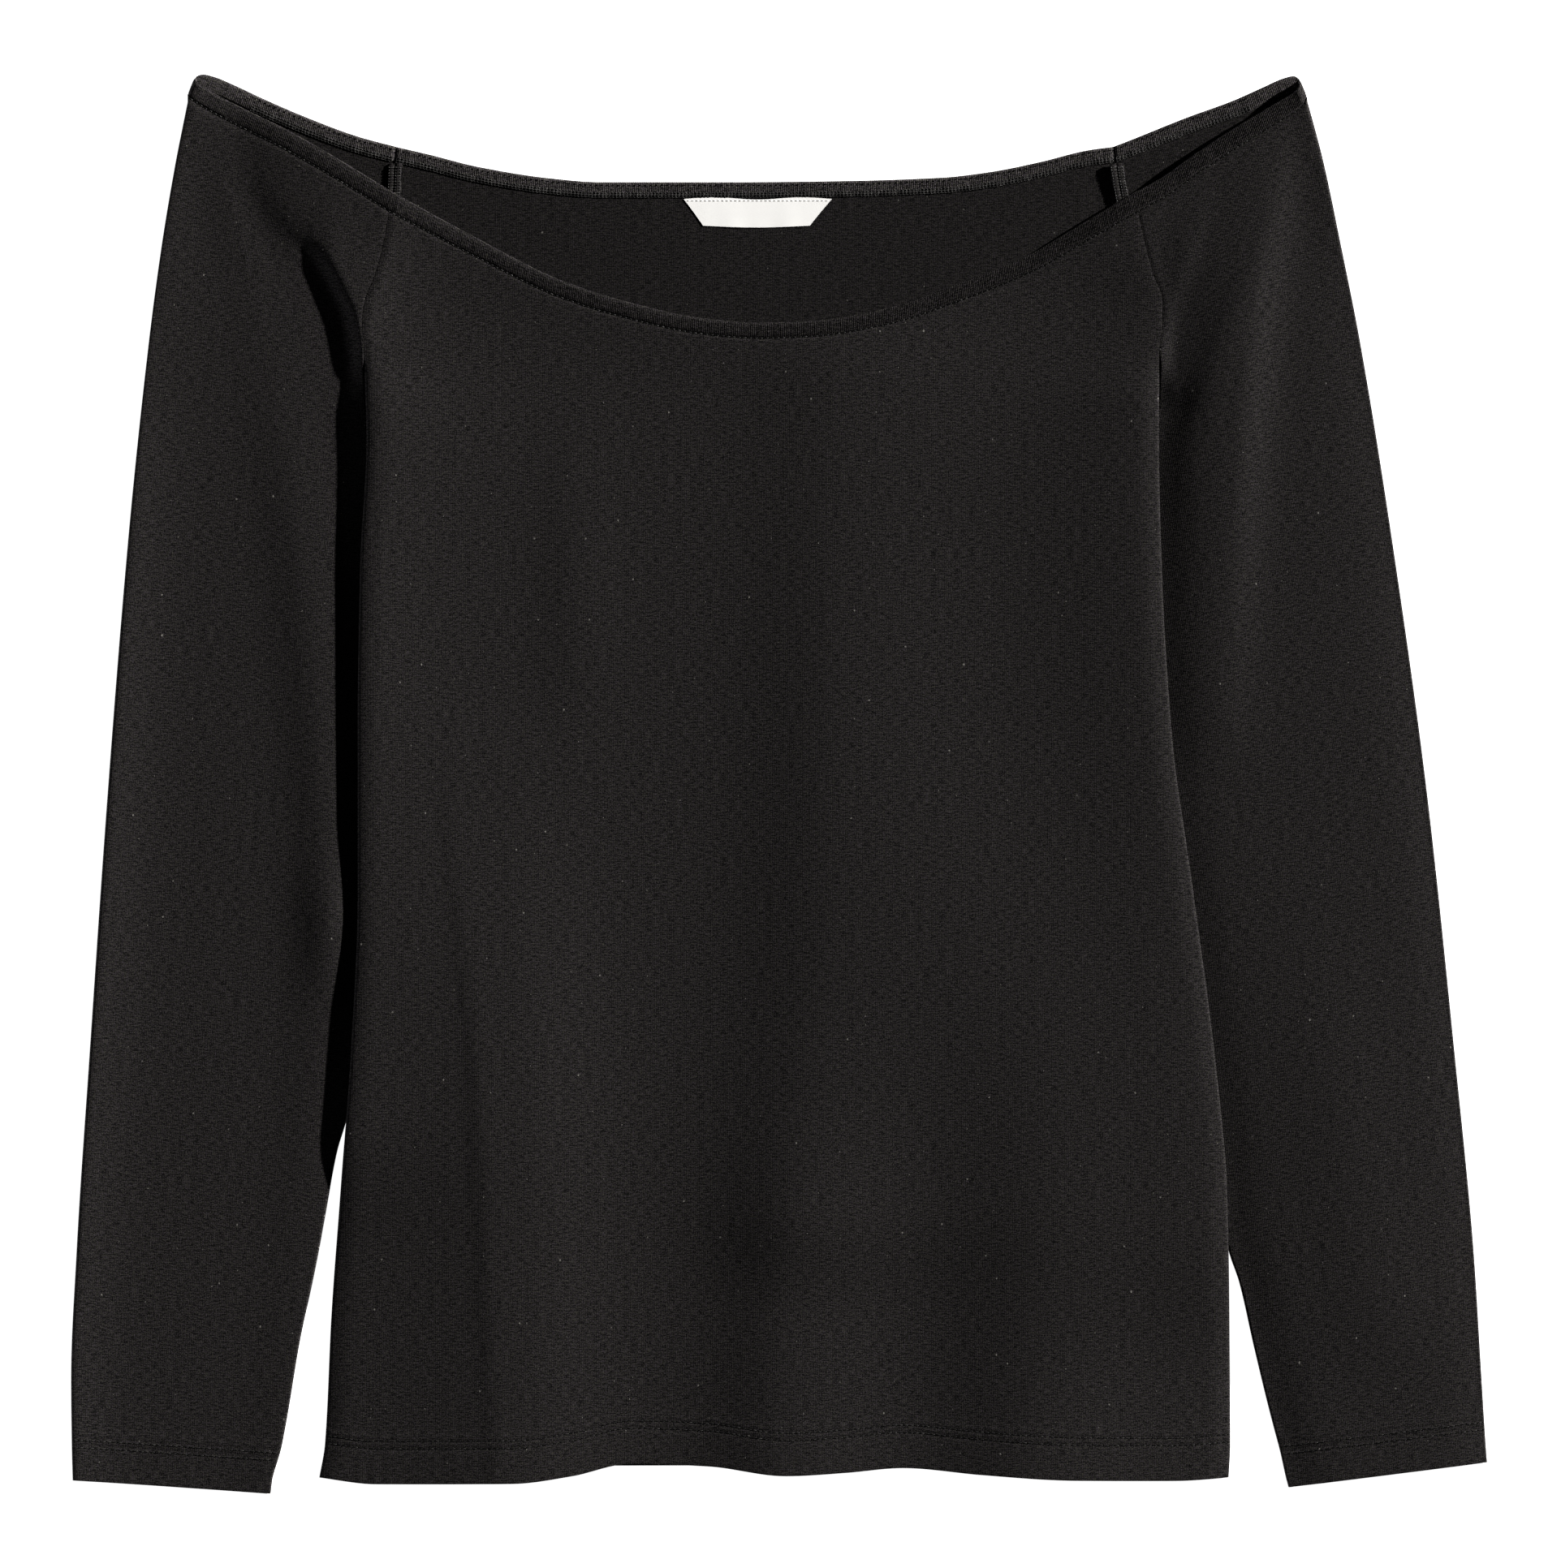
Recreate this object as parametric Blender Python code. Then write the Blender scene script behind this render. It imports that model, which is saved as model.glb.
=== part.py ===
"""Long-sleeved off-shoulder jersey top, laid flat on its back with both sleeves drawn down.

Row frame: +X to the wearer's left, +Y from hem to neckline, +Z up off the table.
The origin is the middle of the garment's outline, on the table.
All tables are in millimetres. "right" and "left" are the wearer's, so right is at -X.
"""

import bpy
import numpy as np

MM = 0.001
RIGHT, LEFT = "right", "left"
OUTWARD = {RIGHT: -1.0, LEFT: 1.0}
COLUMN = {RIGHT: 1, LEFT: 2}

# Cloth
WALL = 1.0
SEAM_GAP = 0.3
SLEEVE_BAND_GAP = 0.5
BAND_WALL = 1.8
FOLDED_BAND_WALL = 1.0
LAYER_GAP = 0.6
ALLOWANCE_WIDTH = 6.0
LABEL_GAP = 0.3

# Rows of every section grid, from hem or cuff to neckband
UNDERARM_Y = 190.0
WIDE_ROWS_TO_Y = 140.0
CLOSE_ROWS_FROM_Y = 152.0
ARMHOLE_ROWS = (196.0, 203.0, 210.0, 218.0, 228.0, 240.0)
WIDE_ROWS = {"body": 15, "sleeve": 13}
CLOSE_ROWS = 4
BAND_ROWS = 3
# Columns: distances along the cloth from each edge, then a number of even ones between
BODY_EDGE_ARCS = (0.2, 1.3, 2.6, 4.2, 8.0, 13.5, 19.0, 24.5, 31.0)
SLEEVE_INNER_ARCS = (0.0, 1.3, 2.8, 6.0)
SLEEVE_OUTER_ARCS = (0.0, 1.1, 2.3, 3.7, 5.4, 9.0)
MIDDLE_COLUMNS = {"body front": 22, "body back": 7, "sleeve front": 9, "sleeve back": 4}
# How soon a panel's rows bend to its hem and neck edges, as a power
BODY_END_BEND, SLEEVE_END_BEND = 2.2, 6.0

# Soft shape: how far in from an edge each rise or fall reaches, and how high the loose parts stand
# The front falls from each body edge: level for, then reach and shape of the fall
EDGE_LEVEL = 3.0
EDGE_REACH = {RIGHT: 42.0, LEFT: 60.0}
EDGE_SHAPE = {RIGHT: 1.1, LEFT: 1.5}
NECK_SHARPENS, NECK_FROM_Y, NECK_OVER = 0.55, 130.0, 90.0
LIFT_FALL, SLEEVE_LIFT_FALL = 30.0, 7.0
RIM_LOFT, RIM_LOFT_REACH = 0.6, 22.0
FOLD_END_FADE = 45.0
FOLD_CLEAR = 14.0
SLEEVE_MIDDLE_TOP = {RIGHT: 2.5, LEFT: 4.2}
SLEEVE_NECK_LOFT = {RIGHT: 0.9, LEFT: 0.3}
SLEEVE_NECK_FROM = 0.86
SLEEVE_INNER_REACH = 13.0
SLEEVE_OUTER_REACH = {RIGHT: 14.0, LEFT: 10.0}
SLEEVE_OUTER_SHAPE = 1.2
CAP_FROM_Y, CAP_BLEND = 160.0, 26.0
BAND_GAP_AT_FOLD = 2.6
BAND_THINS_FROM, BAND_THINS_OVER = 0.7, 0.25
ALLOWANCE_FROM_Y, ALLOWANCE_RISES_FROM_Y = 218.0, 250.0
ALLOWANCE_RISE, ALLOWANCE_RISE_OVER = 0.6, 25.0
ALLOWANCE_ROWS = 9
LABEL_COLUMNS = 9
SHARP_ANGLE = np.radians(50)

# Body edge from hem to neck: side seam, then from the underarm the front armhole seam
# columns: y, right x, left x
BODY_EDGE = (
    (-307.8, -204.5, 199.1),
    (-293.0, -202.0, 199.8),
    (-235.4, -199.1, 199.3),
    (-177.8, -194.8, 198.0),
    (-120.2, -190.3, 192.6),
    (-48.2, -187.2, 183.2),
    (23.8, -187.2, 173.5),
    (95.8, -186.1, 169.2),
    (153.4, -183.2, 167.9),
    (190.0, -184.4, 168.3),
    (205.0, -185.2, 169.6),
    (214.0, -184.0, 169.8),
    (225.4, -179.6, 166.0),
    (239.8, -175.7, 162.0),
    (262.5, -171.7, 157.3),
)
# The back armhole seam above the underarm, columns: y, right x, left x
BACK_ARMHOLE = (
    (190.0, -184.4, 168.3),
    (211.0, -182.0, 167.5),
    (240.0, -175.0, 157.5),
    (258.0, -171.8, 152.3),
    (283.0, -170.6, 148.0),
)
# How far inside the body edge each sleeve's inner fold lies, columns: y, right, left
TUCK = (
    (-315.0, -21.6, -27.3),
    (-278.6, -17.2, -17.5),
    (-249.8, -13.7, -10.8),
    (-221.0, -9.3, -4.6),
    (-206.6, -7.5, -0.1),
    (-192.0, -6.0, 1.8),
    (-163.4, -3.0, 4.0),
    (-149.0, 0.0, 5.0),
    (-120.0, 3.5, 6.0),
    (-84.0, 5.5, 6.5),
    (-30.0, 6.5, 7.0),
    (24.0, 7.0, 7.0),
    (132.0, 7.0, 7.0),
    (155.0, 4.5, 4.5),
    (168.0, -0.5, -0.5),
    (190.0, -0.4, -0.4),
    (200.0, -0.3, -0.3),
)
# The sleeve's outer fold, columns: y, right x, left x
SLEEVE_OUTER = (
    (-308.9, -313.9, 314.5),
    (-293.0, -314.3, 313.2),
    (-264.2, -314.6, 311.4),
    (-206.6, -312.1, 307.8),
    (-120.2, -306.4, 299.5),
    (-5.0, -298.4, 287.3),
    (110.2, -289.1, 271.4),
    (196.6, -280.1, 257.4),
    (239.8, -274.3, 248.8),
    (275.8, -268.2, 241.2),
    (293.8, -264.6, 236.5),
    (303.0, -262.7, 233.9),
)
# Which height on the outer fold each row of the sleeve reaches, columns: inner y, right, left
SLEEVE_TILT = (
    (-315.0, -308.9, -304.0),
    (-312.1, -306.0, -301.0),
    (0.0, 2.0, 2.0),
    (190.0, 214.0, 214.0),
    (253.7, 303.0, 303.0),
)
CUFF_INNER_Y = {RIGHT: -315.0, LEFT: -312.1}

# Neck rims. The rim is the folded top edge of the neckband.
# Front rim over the body, columns: x, y
FRONT_RIM = (
    (-171.7, 262.5),
    (-137.2, 243.7),
    (-97.9, 223.9),
    (-65.9, 213.5),
    (-33.5, 206.6),
    (-7.9, 204.7),
    (14.8, 205.6),
    (46.8, 211.0),
    (78.8, 221.8),
    (111.2, 235.4),
    (135.7, 249.8),
    (157.3, 262.5),
)
# Back rim over the body, columns: x, y
BACK_RIM = (
    (-170.6, 283.0),
    (-155.2, 279.4),
    (-133.6, 274.0),
    (-101.2, 268.9),
    (-79.6, 267.3),
    (-20.0, 267.3),
    (28.4, 267.8),
    (71.6, 269.3),
    (93.2, 271.8),
    (114.8, 276.1),
    (136.4, 281.4),
    (148.0, 283.0),
)
# Sleeve rims from the armhole seam to the outer fold, columns: share of the way, x, y
SLEEVE_FRONT_RIM = {
    RIGHT: (
        (0.0, -171.7, 262.5),
        (0.33, -201.2, 280.3),
        (0.55, -220.1, 290.9),
        (0.75, -237.6, 299.5),
        (0.88, -249.5, 305.6),
        (0.95, -256.0, 309.4),
        (0.985, -259.2, 311.6),
        (1.0, -260.0, 313.0),
    ),
    LEFT: (
        (0.0, 157.3, 262.5),
        (0.16, 169.1, 268.9),
        (0.39, 185.7, 280.6),
        (0.62, 202.2, 291.3),
        (0.85, 218.9, 301.3),
        (0.95, 227.3, 306.4),
        (0.985, 230.2, 309.6),
        (1.0, 231.0, 311.8),
    ),
}
SLEEVE_BACK_RIM = {
    RIGHT: (
        (0.0, -170.6, 283.0),
        (0.2, -187.6, 287.6),
        (0.44, -209.2, 295.6),
        (0.7, -230.8, 304.9),
        (0.83, -241.6, 310.0),
        (0.92, -251.8, 314.2),
        (0.96, -256.2, 315.1),
        (0.985, -259.1, 314.5),
        (1.0, -260.0, 313.0),
    ),
    LEFT: (
        (0.0, 148.0, 283.0),
        (0.14, 158.0, 286.9),
        (0.4, 179.6, 295.6),
        (0.66, 201.2, 303.5),
        (0.82, 214.0, 309.2),
        (0.92, 223.6, 313.4),
        (0.96, 227.9, 314.4),
        (0.985, 230.4, 313.4),
        (1.0, 231.0, 311.8),
    ),
}
# Neckband depth along its lean at the seams and elsewhere
BAND_DEPTH = {"front centre": 6.8, "front seam": 8.6, "back": 7.2, "sleeve back": 7.4, "sleeve fold": 7.7}
# Sideways lean of the band, per millimetre of depth, at the seam and at the sleeve's fold
BAND_LEAN = {"front seam": 0.20, "back seam": 0.10, "sleeve fold": 0.40}

# Bottom edge of the front hem, columns: x, y
FRONT_HEM = (
    (-204.5, -307.8),
    (-178.9, -310.7),
    (-118.4, -310.3),
    (-92.5, -307.1),
    (-66.6, -301.7),
    (-32.0, -302.8),
    (2.5, -306.9),
    (28.4, -305.6),
    (54.4, -303.5),
    (88.9, -306.4),
    (132.1, -308.9),
    (175.3, -309.2),
    (199.1, -307.8),
)
BACK_HEM_CORNER_Y = -307.8
BACK_HEM_RISE = 5.2

# Height of the body edge: underside lift over the tucked sleeve, then the top of the roll
# columns: y, right lift, left lift, right top, left top
BODY_ROLL = (
    (-308.0, 0.0, 0.0, 3.4, 3.4),
    (-266.0, 0.0, 0.0, 3.5, 3.6),
    (-206.0, 0.1, 3.4, 3.8, 6.9),
    (-149.0, 3.5, 3.6, 6.8, 7.0),
    (-60.0, 3.6, 3.6, 7.0, 7.0),
    (168.0, 3.6, 3.6, 7.0, 7.0),
    (190.0, 1.9, 1.9, 5.8, 5.4),
    (196.0, 1.0, 1.0, 5.9, 5.1),
    (205.0, 0.4, 0.4, 5.9, 4.8),
    (216.0, 0.0, 0.0, 5.7, 4.6),
    (240.0, 0.0, 0.0, 5.1, 4.6),
    (262.5, 0.0, 0.0, 5.2, 5.1),
)
# The same for each sleeve's inner fold
SLEEVE_ROLL = (
    (-315.0, 0.0, 0.0, 3.0, 3.0),
    (168.0, 0.0, 0.0, 3.0, 3.0),
    *BODY_ROLL[6:],
)
LIFT, TOP = 0, 2
# How far an edge is rolled shut, from 1 at a fold to 0 at an open armhole seam, columns: y, share
ROLLED = ((190.0, 1.0), (196.0, 0.45), (203.0, 0.2), (214.0, 0.0))
# Radius of each sleeve's outer fold, columns: y, right, left
OUTER_RADIUS = (
    (-309.0, 2.3, 1.5),
    (0.0, 2.6, 1.5),
    (120.0, 2.4, 1.6),
    (196.0, 1.9, 1.7),
    (276.0, 2.5, 2.5),
    (303.0, 3.0, 3.0),
)
# How high a sleeve swells inside its outer fold, and where

# The raised cap by each armhole ends at a steep fold that runs up from the underarm
# columns: y, right x, left x, half width of the step
CAP_FOLD = (
    (190.0, -188.0, 171.5, 4.0),
    (205.6, -190.5, 173.5, 4.0),
    (221.8, -197.5, 180.5, 4.2),
    (233.3, -203.5, 184.5, 5.5),
    (247.0, -210.0, 188.8, 15.0),
    (268.6, -222.0, 200.0, 24.0),
    (300.0, -235.0, 215.0, 28.0),
)

# Soft folds: a crest line through three points, its height at top, middle and bottom,
# and how wide its -X flank and its +X flank are
# columns: top x, y, middle x, y, bottom x, y, heights, -X width, +X width
FRONT_FOLDS = (
    (28, 175, 24, -40, 12, -190, (1.7, 3.0, 2.7), 36, 62),
    (8, -140, 4, -215, 0, -312, (0.4, 2.4, 3.3), 28, 45),
    (82, 30, 92, -80, 100, -180, (0.2, 2.0, 0.9), 50, 60),
    (124, -70, 117, -200, 113, -312, (0.3, 3.0, 4.0), 40, 50),
    (-124, 0, -119, -137, -117, -312, (0.8, 3.1, 3.1), 48, 36),
    (-147, 0, -134, -137, -126, -312, (0.1, 0.4, 0.3), 4, 9),
    (-92, 150, -91, 90, -92, 20, (0.2, 0.7, 0.2), 14, 18),
)
SLEEVE_FOLDS = {
    RIGHT: (
        (-230, 222, -209, 80, -197, -60, (0.0, 1.2, 1.5), 14, 20),
        (-199, -60, -205, -150, -216, -290, (1.4, 0.7, 0.3), 15, 20),
        (-225, 272, -219, 250, -208, 228, (0.2, 0.6, 0.0), 8, 13),
        (-252, 290, -243, 250, -233, 226, (0.3, 0.4, 0.2), 10, 7),
    ),
    LEFT: (
        (222, 292, 206, 196, 195, 40, (1.2, 2.6, 0.9), 26, 12),
        (189, 262, 178, 232, 168, 206, (0.1, 0.5, 0.2), 9, 4),
        (217, 245, 198, 204, 180, 152, (0.1, 0.4, 0.2), 6, 9),
        (236, -60, 246, -130, 264, -230, (0.2, 0.8, 1.0), 26, 24),
    ),
}

# Label on the inside of the back, hung from the neckband: top and bottom edges
LABEL_TOP = ((-42.8, 260.3 - LABEL_GAP), (23.0, 260.3 - LABEL_GAP))
LABEL_BOTTOM = ((-34.2, 247.9), (13.2, 247.9))

# Colours
CHARCOAL = (0.014, 0.0137, 0.0125, 1.0)
WHITE_SATIN = (0.86, 0.85, 0.82, 1.0)


def smooth(table, at, column=1):
    """Cubic through a table's rows that never overshoots, and is level past both ends."""
    knots = np.array([row[0] for row in table], float)
    values = np.array([row[column] for row in table], float)
    at = np.clip(np.asarray(at, float), knots[0], knots[-1])
    span = np.diff(knots)
    slope = np.diff(values) / span
    product = slope[:-1] * slope[1:]
    total = np.where(product > 0, slope[:-1] + slope[1:], 1.0)
    tangent = np.concatenate([slope[:1], np.where(product > 0, 2 * product / total, 0.0), slope[-1:]])
    i = np.clip(np.searchsorted(knots, at, side="right") - 1, 0, len(span) - 1)
    t = (at - knots[i]) / span[i]
    return (
        values[i] * (1 + 2 * t) * (1 - t) ** 2
        + tangent[i] * span[i] * t * (1 - t) ** 2
        + values[i + 1] * t * t * (3 - 2 * t)
        + tangent[i + 1] * span[i] * t * t * (t - 1)
    )


def step(t):
    """Smooth rise from 0 to 1 as t goes from 0 to 1."""
    t = np.clip(t, 0.0, 1.0)
    return t * t * (3 - 2 * t)


def roll(arc, radius, share):
    """Inset and drop along a rolled edge, at a distance along the cloth from its end."""
    length = radius * np.pi / 2
    bend = np.maximum(share, 1e-4) / radius
    left = np.clip(length - arc, 0.0, None)
    inset = (np.sin(bend * length) - np.sin(bend * left)) / bend + np.clip(arc - length, 0.0, None)
    return inset, (1 - np.cos(bend * left)) / bend


def fold_height(folds, x, y):
    """Sum of soft ridges. Each crest follows a curve through its three points."""
    total = np.zeros_like(x)
    for top_x, top_y, mid_x, mid_y, low_x, low_y, heights, minus_width, plus_width in folds:
        along = ((low_y, low_x, heights[2]), (mid_y, mid_x, heights[1]), (top_y, top_x, heights[0]))
        off = x - smooth(along, y)
        width = np.where(off < 0, minus_width, plus_width)
        fade = step((y - low_y) / FOLD_END_FADE + 1) * step((top_y - y) / FOLD_END_FADE + 1)
        total = total + smooth(along, y, 2) * fade * np.exp(-((off / width) ** 2))
    return total


def edge_height(table, y, side, kind):
    return smooth(table, y, COLUMN[side] + kind)


def from_edge(x, y, side):
    """Distance inwards from the body edge."""
    return (smooth(BODY_EDGE, y, COLUMN[side]) - x) * OUTWARD[side]


def back_underside(x, y):
    """Underside of the back: on the table, and lifted where it lies over a tucked sleeve."""
    height = np.zeros_like(x)
    for side in (RIGHT, LEFT):
        inside = from_edge(x, y, side)
        flat_for = np.maximum(smooth(TUCK, y, COLUMN[side]), 0.0) + 1.5
        height = height + edge_height(BODY_ROLL, y, side, LIFT) * (1 - step((inside - flat_for) / LIFT_FALL))
    return height


def front_top(x, y):
    """Upper face of the front: highest at the body edges, falling to the middle, with soft folds."""
    flat = 2 * WALL + LAYER_GAP
    height = np.full_like(x, flat)
    at_edge = np.zeros_like(x)
    for side in (RIGHT, LEFT):
        inside = from_edge(x, y, side)
        reach = EDGE_REACH[side] * (1 - NECK_SHARPENS * step((y - NECK_FROM_Y) / NECK_OVER))
        fall = np.maximum(inside - EDGE_LEVEL, 0.0) / reach
        height = height + (edge_height(BODY_ROLL, y, side, TOP) - flat) * np.exp(-(fall ** EDGE_SHAPE[side]))
        at_edge = np.maximum(at_edge, np.exp(-((inside / FOLD_CLEAR) ** 2)))
    below_rim = smooth(FRONT_RIM, x) - y
    loft = RIM_LOFT * np.exp(-((below_rim / RIM_LOFT_REACH) ** 2)) + fold_height(FRONT_FOLDS, x, y)
    return height + loft * (1 - at_edge)


def plan_rows(minus, plus, share, bottom, top, bend):
    """Plan of a panel: straight rows between its two side edges, bent to its end edges."""
    climb = np.linspace(0.0, 1.0, len(minus))[:, None, None]
    share = share[..., None]
    rows = minus[:, None] * (1 - share) + plus[:, None] * share
    low = bottom - (minus[0] * (1 - share[0]) + plus[0] * share[0])
    high = top - (minus[-1] * (1 - share[-1]) + plus[-1] * share[-1])
    return rows + (1 - climb) ** bend * low + climb**bend * high


def unit(vectors):
    return vectors / np.maximum(np.linalg.norm(vectors, axis=-1, keepdims=True), 1e-9)


def tangents(points):
    """Directions along the first axis. At both ends the turn of the last two steps is carried on."""
    steps = np.diff(points, axis=0)
    lengths = np.linalg.norm(steps, axis=-1, keepdims=True)
    steps = unit(steps)
    first = steps[0] + (steps[0] - steps[1]) * lengths[0] / (lengths[0] + lengths[1])
    last = steps[-1] + (steps[-1] - steps[-2]) * lengths[-1] / (lengths[-1] + lengths[-2])
    return np.concatenate([first[None], steps[1:] + steps[:-1], last[None]])


def outer_normals(points, facing, closed_rows):
    """Normals of a grid of rows by columns. The lowest closed_rows rows are closed loops."""
    along = tangents(points)
    across = tangents(points.swapaxes(0, 1)).swapaxes(0, 1)
    start, end = (unit(points[:closed_rows, i + 1] - points[:closed_rows, i]) for i in (0, -2))
    across[:closed_rows, 0] = across[:closed_rows, -1] = start + end
    return facing * unit(np.cross(unit(across), unit(along)))


def cloth_wall(name, points, thickness, material, facing=1, closed_rows=0):
    """Closed solid between a grid of outer points and the same grid moved in by its thickness."""
    inner = points - thickness * outer_normals(points, facing, closed_rows)
    rows, columns = points.shape[:2]
    vertices, number = [], np.zeros((2, rows, columns), int)
    for layer, grid in enumerate((points, inner)):
        for r in range(rows):
            for c in range(columns):
                if r < closed_rows and c == columns - 1:
                    number[layer, r, c] = number[layer, r, 0]
                    continue
                number[layer, r, c] = len(vertices)
                vertices.append(tuple(grid[r, c] * MM))
    out, into = number
    faces = []
    for r in range(rows - 1):
        for c in range(columns - 1):
            faces.append((out[r, c], out[r, c + 1], out[r + 1, c + 1], out[r + 1, c]))
            faces.append((into[r, c], into[r + 1, c], into[r + 1, c + 1], into[r, c + 1]))
    for c in range(columns - 1):
        faces.append((out[0, c + 1], out[0, c], into[0, c], into[0, c + 1]))
        faces.append((out[-1, c], out[-1, c + 1], into[-1, c + 1], into[-1, c]))
    for r in range(max(closed_rows - 1, 0), rows - 1):
        faces.append((out[r, 0], out[r + 1, 0], into[r + 1, 0], into[r, 0]))
        faces.append((out[r + 1, -1], out[r, -1], into[r, -1], into[r + 1, -1]))
    if facing < 0:
        faces = [face[::-1] for face in faces]
    mesh = bpy.data.meshes.new(name)
    mesh.from_pydata(vertices, [], [tuple(int(i) for i in face) for face in faces])
    mesh.shade_smooth()
    mesh.set_sharp_from_angle(angle=SHARP_ANGLE)
    mesh.materials.append(material)
    made = bpy.data.objects.new(name, mesh)
    bpy.context.scene.collection.objects.link(made)
    return made


def finish(name, colour, roughness):
    material = bpy.data.materials.new(name)
    material.use_nodes = True
    shader = material.node_tree.nodes["Principled BSDF"]
    shader.inputs["Base Color"].default_value = colour
    shader.inputs["Roughness"].default_value = roughness
    shader.inputs["Metallic"].default_value = 0.0
    return material


def lean_to_base(rim, lean, depth):
    """Points at a depth below the rim, measured along a line that leans sideways."""
    down = unit(np.stack([lean, -np.ones_like(lean)], axis=-1))
    return rim + down * depth[..., None]


def body_rim(table, share):
    x = table[0][0] * (1 - share) + table[-1][0] * share
    return np.stack([x, smooth(table, x)], axis=-1)


def front_band_base(share, extra=0.0):
    rim = body_rim(FRONT_RIM, share)
    towards_seam = np.abs(2 * share - 1) ** 2
    depth = BAND_DEPTH["front centre"] * (1 - towards_seam) + BAND_DEPTH["front seam"] * towards_seam
    return lean_to_base(rim, BAND_LEAN["front seam"] * (2 * share - 1), depth + extra)


def back_band_base(share, extra=0.0):
    rim = body_rim(BACK_RIM, share)
    depth = np.full_like(share, BAND_DEPTH["back"] + extra)
    return lean_to_base(rim, BAND_LEAN["back seam"] * (2 * share - 1), depth)


def sleeve_band_base(side, layer, share, extra=0.0):
    table = (SLEEVE_FRONT_RIM if layer == "front" else SLEEVE_BACK_RIM)[side]
    rim = np.stack([smooth(table, share, 1), smooth(table, share, 2)], axis=-1)
    seam_depth = BAND_DEPTH["front seam"] if layer == "front" else BAND_DEPTH["sleeve back"]
    lean = BAND_LEAN[layer + " seam"] * (1 - share) + BAND_LEAN["sleeve fold"] * share
    depth = seam_depth * (1 - share) + BAND_DEPTH["sleeve fold"] * share
    widened = extra * (1 + (BAND_GAP_AT_FOLD - 1) * share**6)
    return lean_to_base(rim, OUTWARD[side] * lean, depth + widened), rim


def row_heights(piece, bottom_y, top_y):
    """Heights of a piece's rows at its edge, closer together round the underarm."""
    wide = np.linspace(bottom_y, WIDE_ROWS_TO_Y, WIDE_ROWS[piece])
    close = np.linspace(CLOSE_ROWS_FROM_Y, UNDERARM_Y, CLOSE_ROWS)
    return np.concatenate([wide, close, ARMHOLE_ROWS, [top_y]])


def columns_between(first, last, count):
    """Even shares between the innermost edge columns of two sides."""
    even = np.linspace(0.0, 1.0, count + 2)[1:-1]
    return first[:, -1:] + (last[:, :1] - first[:, -1:]) * even


def body_panel(edge_of, bottom, top_base, height_of, middle_columns, upward):
    """Grid of a front or back: rolled at both side seams, then flat up to the armhole seams."""
    corner_y = top_base(np.array([0.0, 1.0]), SEAM_GAP)[:, 1]
    heights = row_heights("body", BODY_EDGE[0][0], float(corner_y.mean()))
    arcs = np.broadcast_to(BODY_EDGE_ARCS, (len(heights), len(BODY_EDGE_ARCS)))
    ends, insets, drops = {}, {}, {}
    for side in (RIGHT, LEFT):
        x = edge_of(heights, side)
        ends[side] = np.stack([x, heights], axis=-1)
        lift, roof = (edge_height(BODY_ROLL, heights, side, kind) for kind in (LIFT, TOP))
        radius = ((roof - lift) / 2)[:, None]
        share = smooth(ROLLED, heights)[:, None]
        insets[side], drops[side] = roll(arcs, radius, share)
    width = (ends[LEFT][:, 0] - ends[RIGHT][:, 0])[:, None]
    first, last = insets[RIGHT] / width, 1 - insets[LEFT][:, ::-1] / width
    between = columns_between(first, last, middle_columns)
    share = np.concatenate([first, between, last], axis=1)
    top = top_base(share[-1], SEAM_GAP)
    plan = plan_rows(ends[RIGHT], ends[LEFT], share, bottom(share[0]), top, BODY_END_BEND)
    fall = np.concatenate([drops[RIGHT], np.zeros_like(between), drops[LEFT][:, ::-1]], axis=1)
    height = height_of(plan[..., 0], plan[..., 1])
    height = height - fall if upward else height + fall
    return np.concatenate([plan, height[..., None]], axis=-1), share[-1]


def hem_points(share):
    x = FRONT_HEM[0][0] * (1 - share) + FRONT_HEM[-1][0] * share
    return np.stack([x, smooth(FRONT_HEM, x)], axis=-1)


def back_hem_points(share):
    x = FRONT_HEM[0][0] * (1 - share) + FRONT_HEM[-1][0] * share
    return np.stack([x, BACK_HEM_CORNER_Y + BACK_HEM_RISE * (1 - (2 * share - 1) ** 4)], axis=-1)


def front_edge(y, side):
    return smooth(BODY_EDGE, y, COLUMN[side])


def back_edge(y, side):
    return np.where(y > UNDERARM_Y, smooth(BACK_ARMHOLE, y, COLUMN[side]), front_edge(y, side))


def front_panel(material):
    columns = MIDDLE_COLUMNS["body front"]
    grid, share = body_panel(front_edge, hem_points, front_band_base, front_top, columns, True)
    cloth_wall("front", grid, WALL, material)
    return share


def back_panel(material):
    columns = MIDDLE_COLUMNS["body back"]
    grid, share = body_panel(back_edge, back_hem_points, back_band_base, back_underside, columns, False)
    cloth_wall("back", grid, WALL, material, facing=-1)
    return share


def band_between(base, rim, height):
    climb = np.linspace(0.0, 1.0, BAND_ROWS)[:, None, None]
    plan = base * (1 - climb) + rim * climb
    return np.concatenate([plan, np.broadcast_to(height, plan.shape[:2])[..., None]], axis=-1)


def front_band(share, material):
    """The neckband over the front: a fold of cloth with elastic inside it."""
    rim = body_rim(FRONT_RIM, share)
    grid = band_between(front_band_base(share), rim, front_top(rim[:, 0], rim[:, 1]))
    cloth_wall("neckband_front", grid, BAND_WALL, material)


def back_band(share, material):
    grid = band_between(back_band_base(share), body_rim(BACK_RIM, share), np.zeros(len(share)))
    cloth_wall("neckband_back", grid, BAND_WALL, material, facing=-1)


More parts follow.
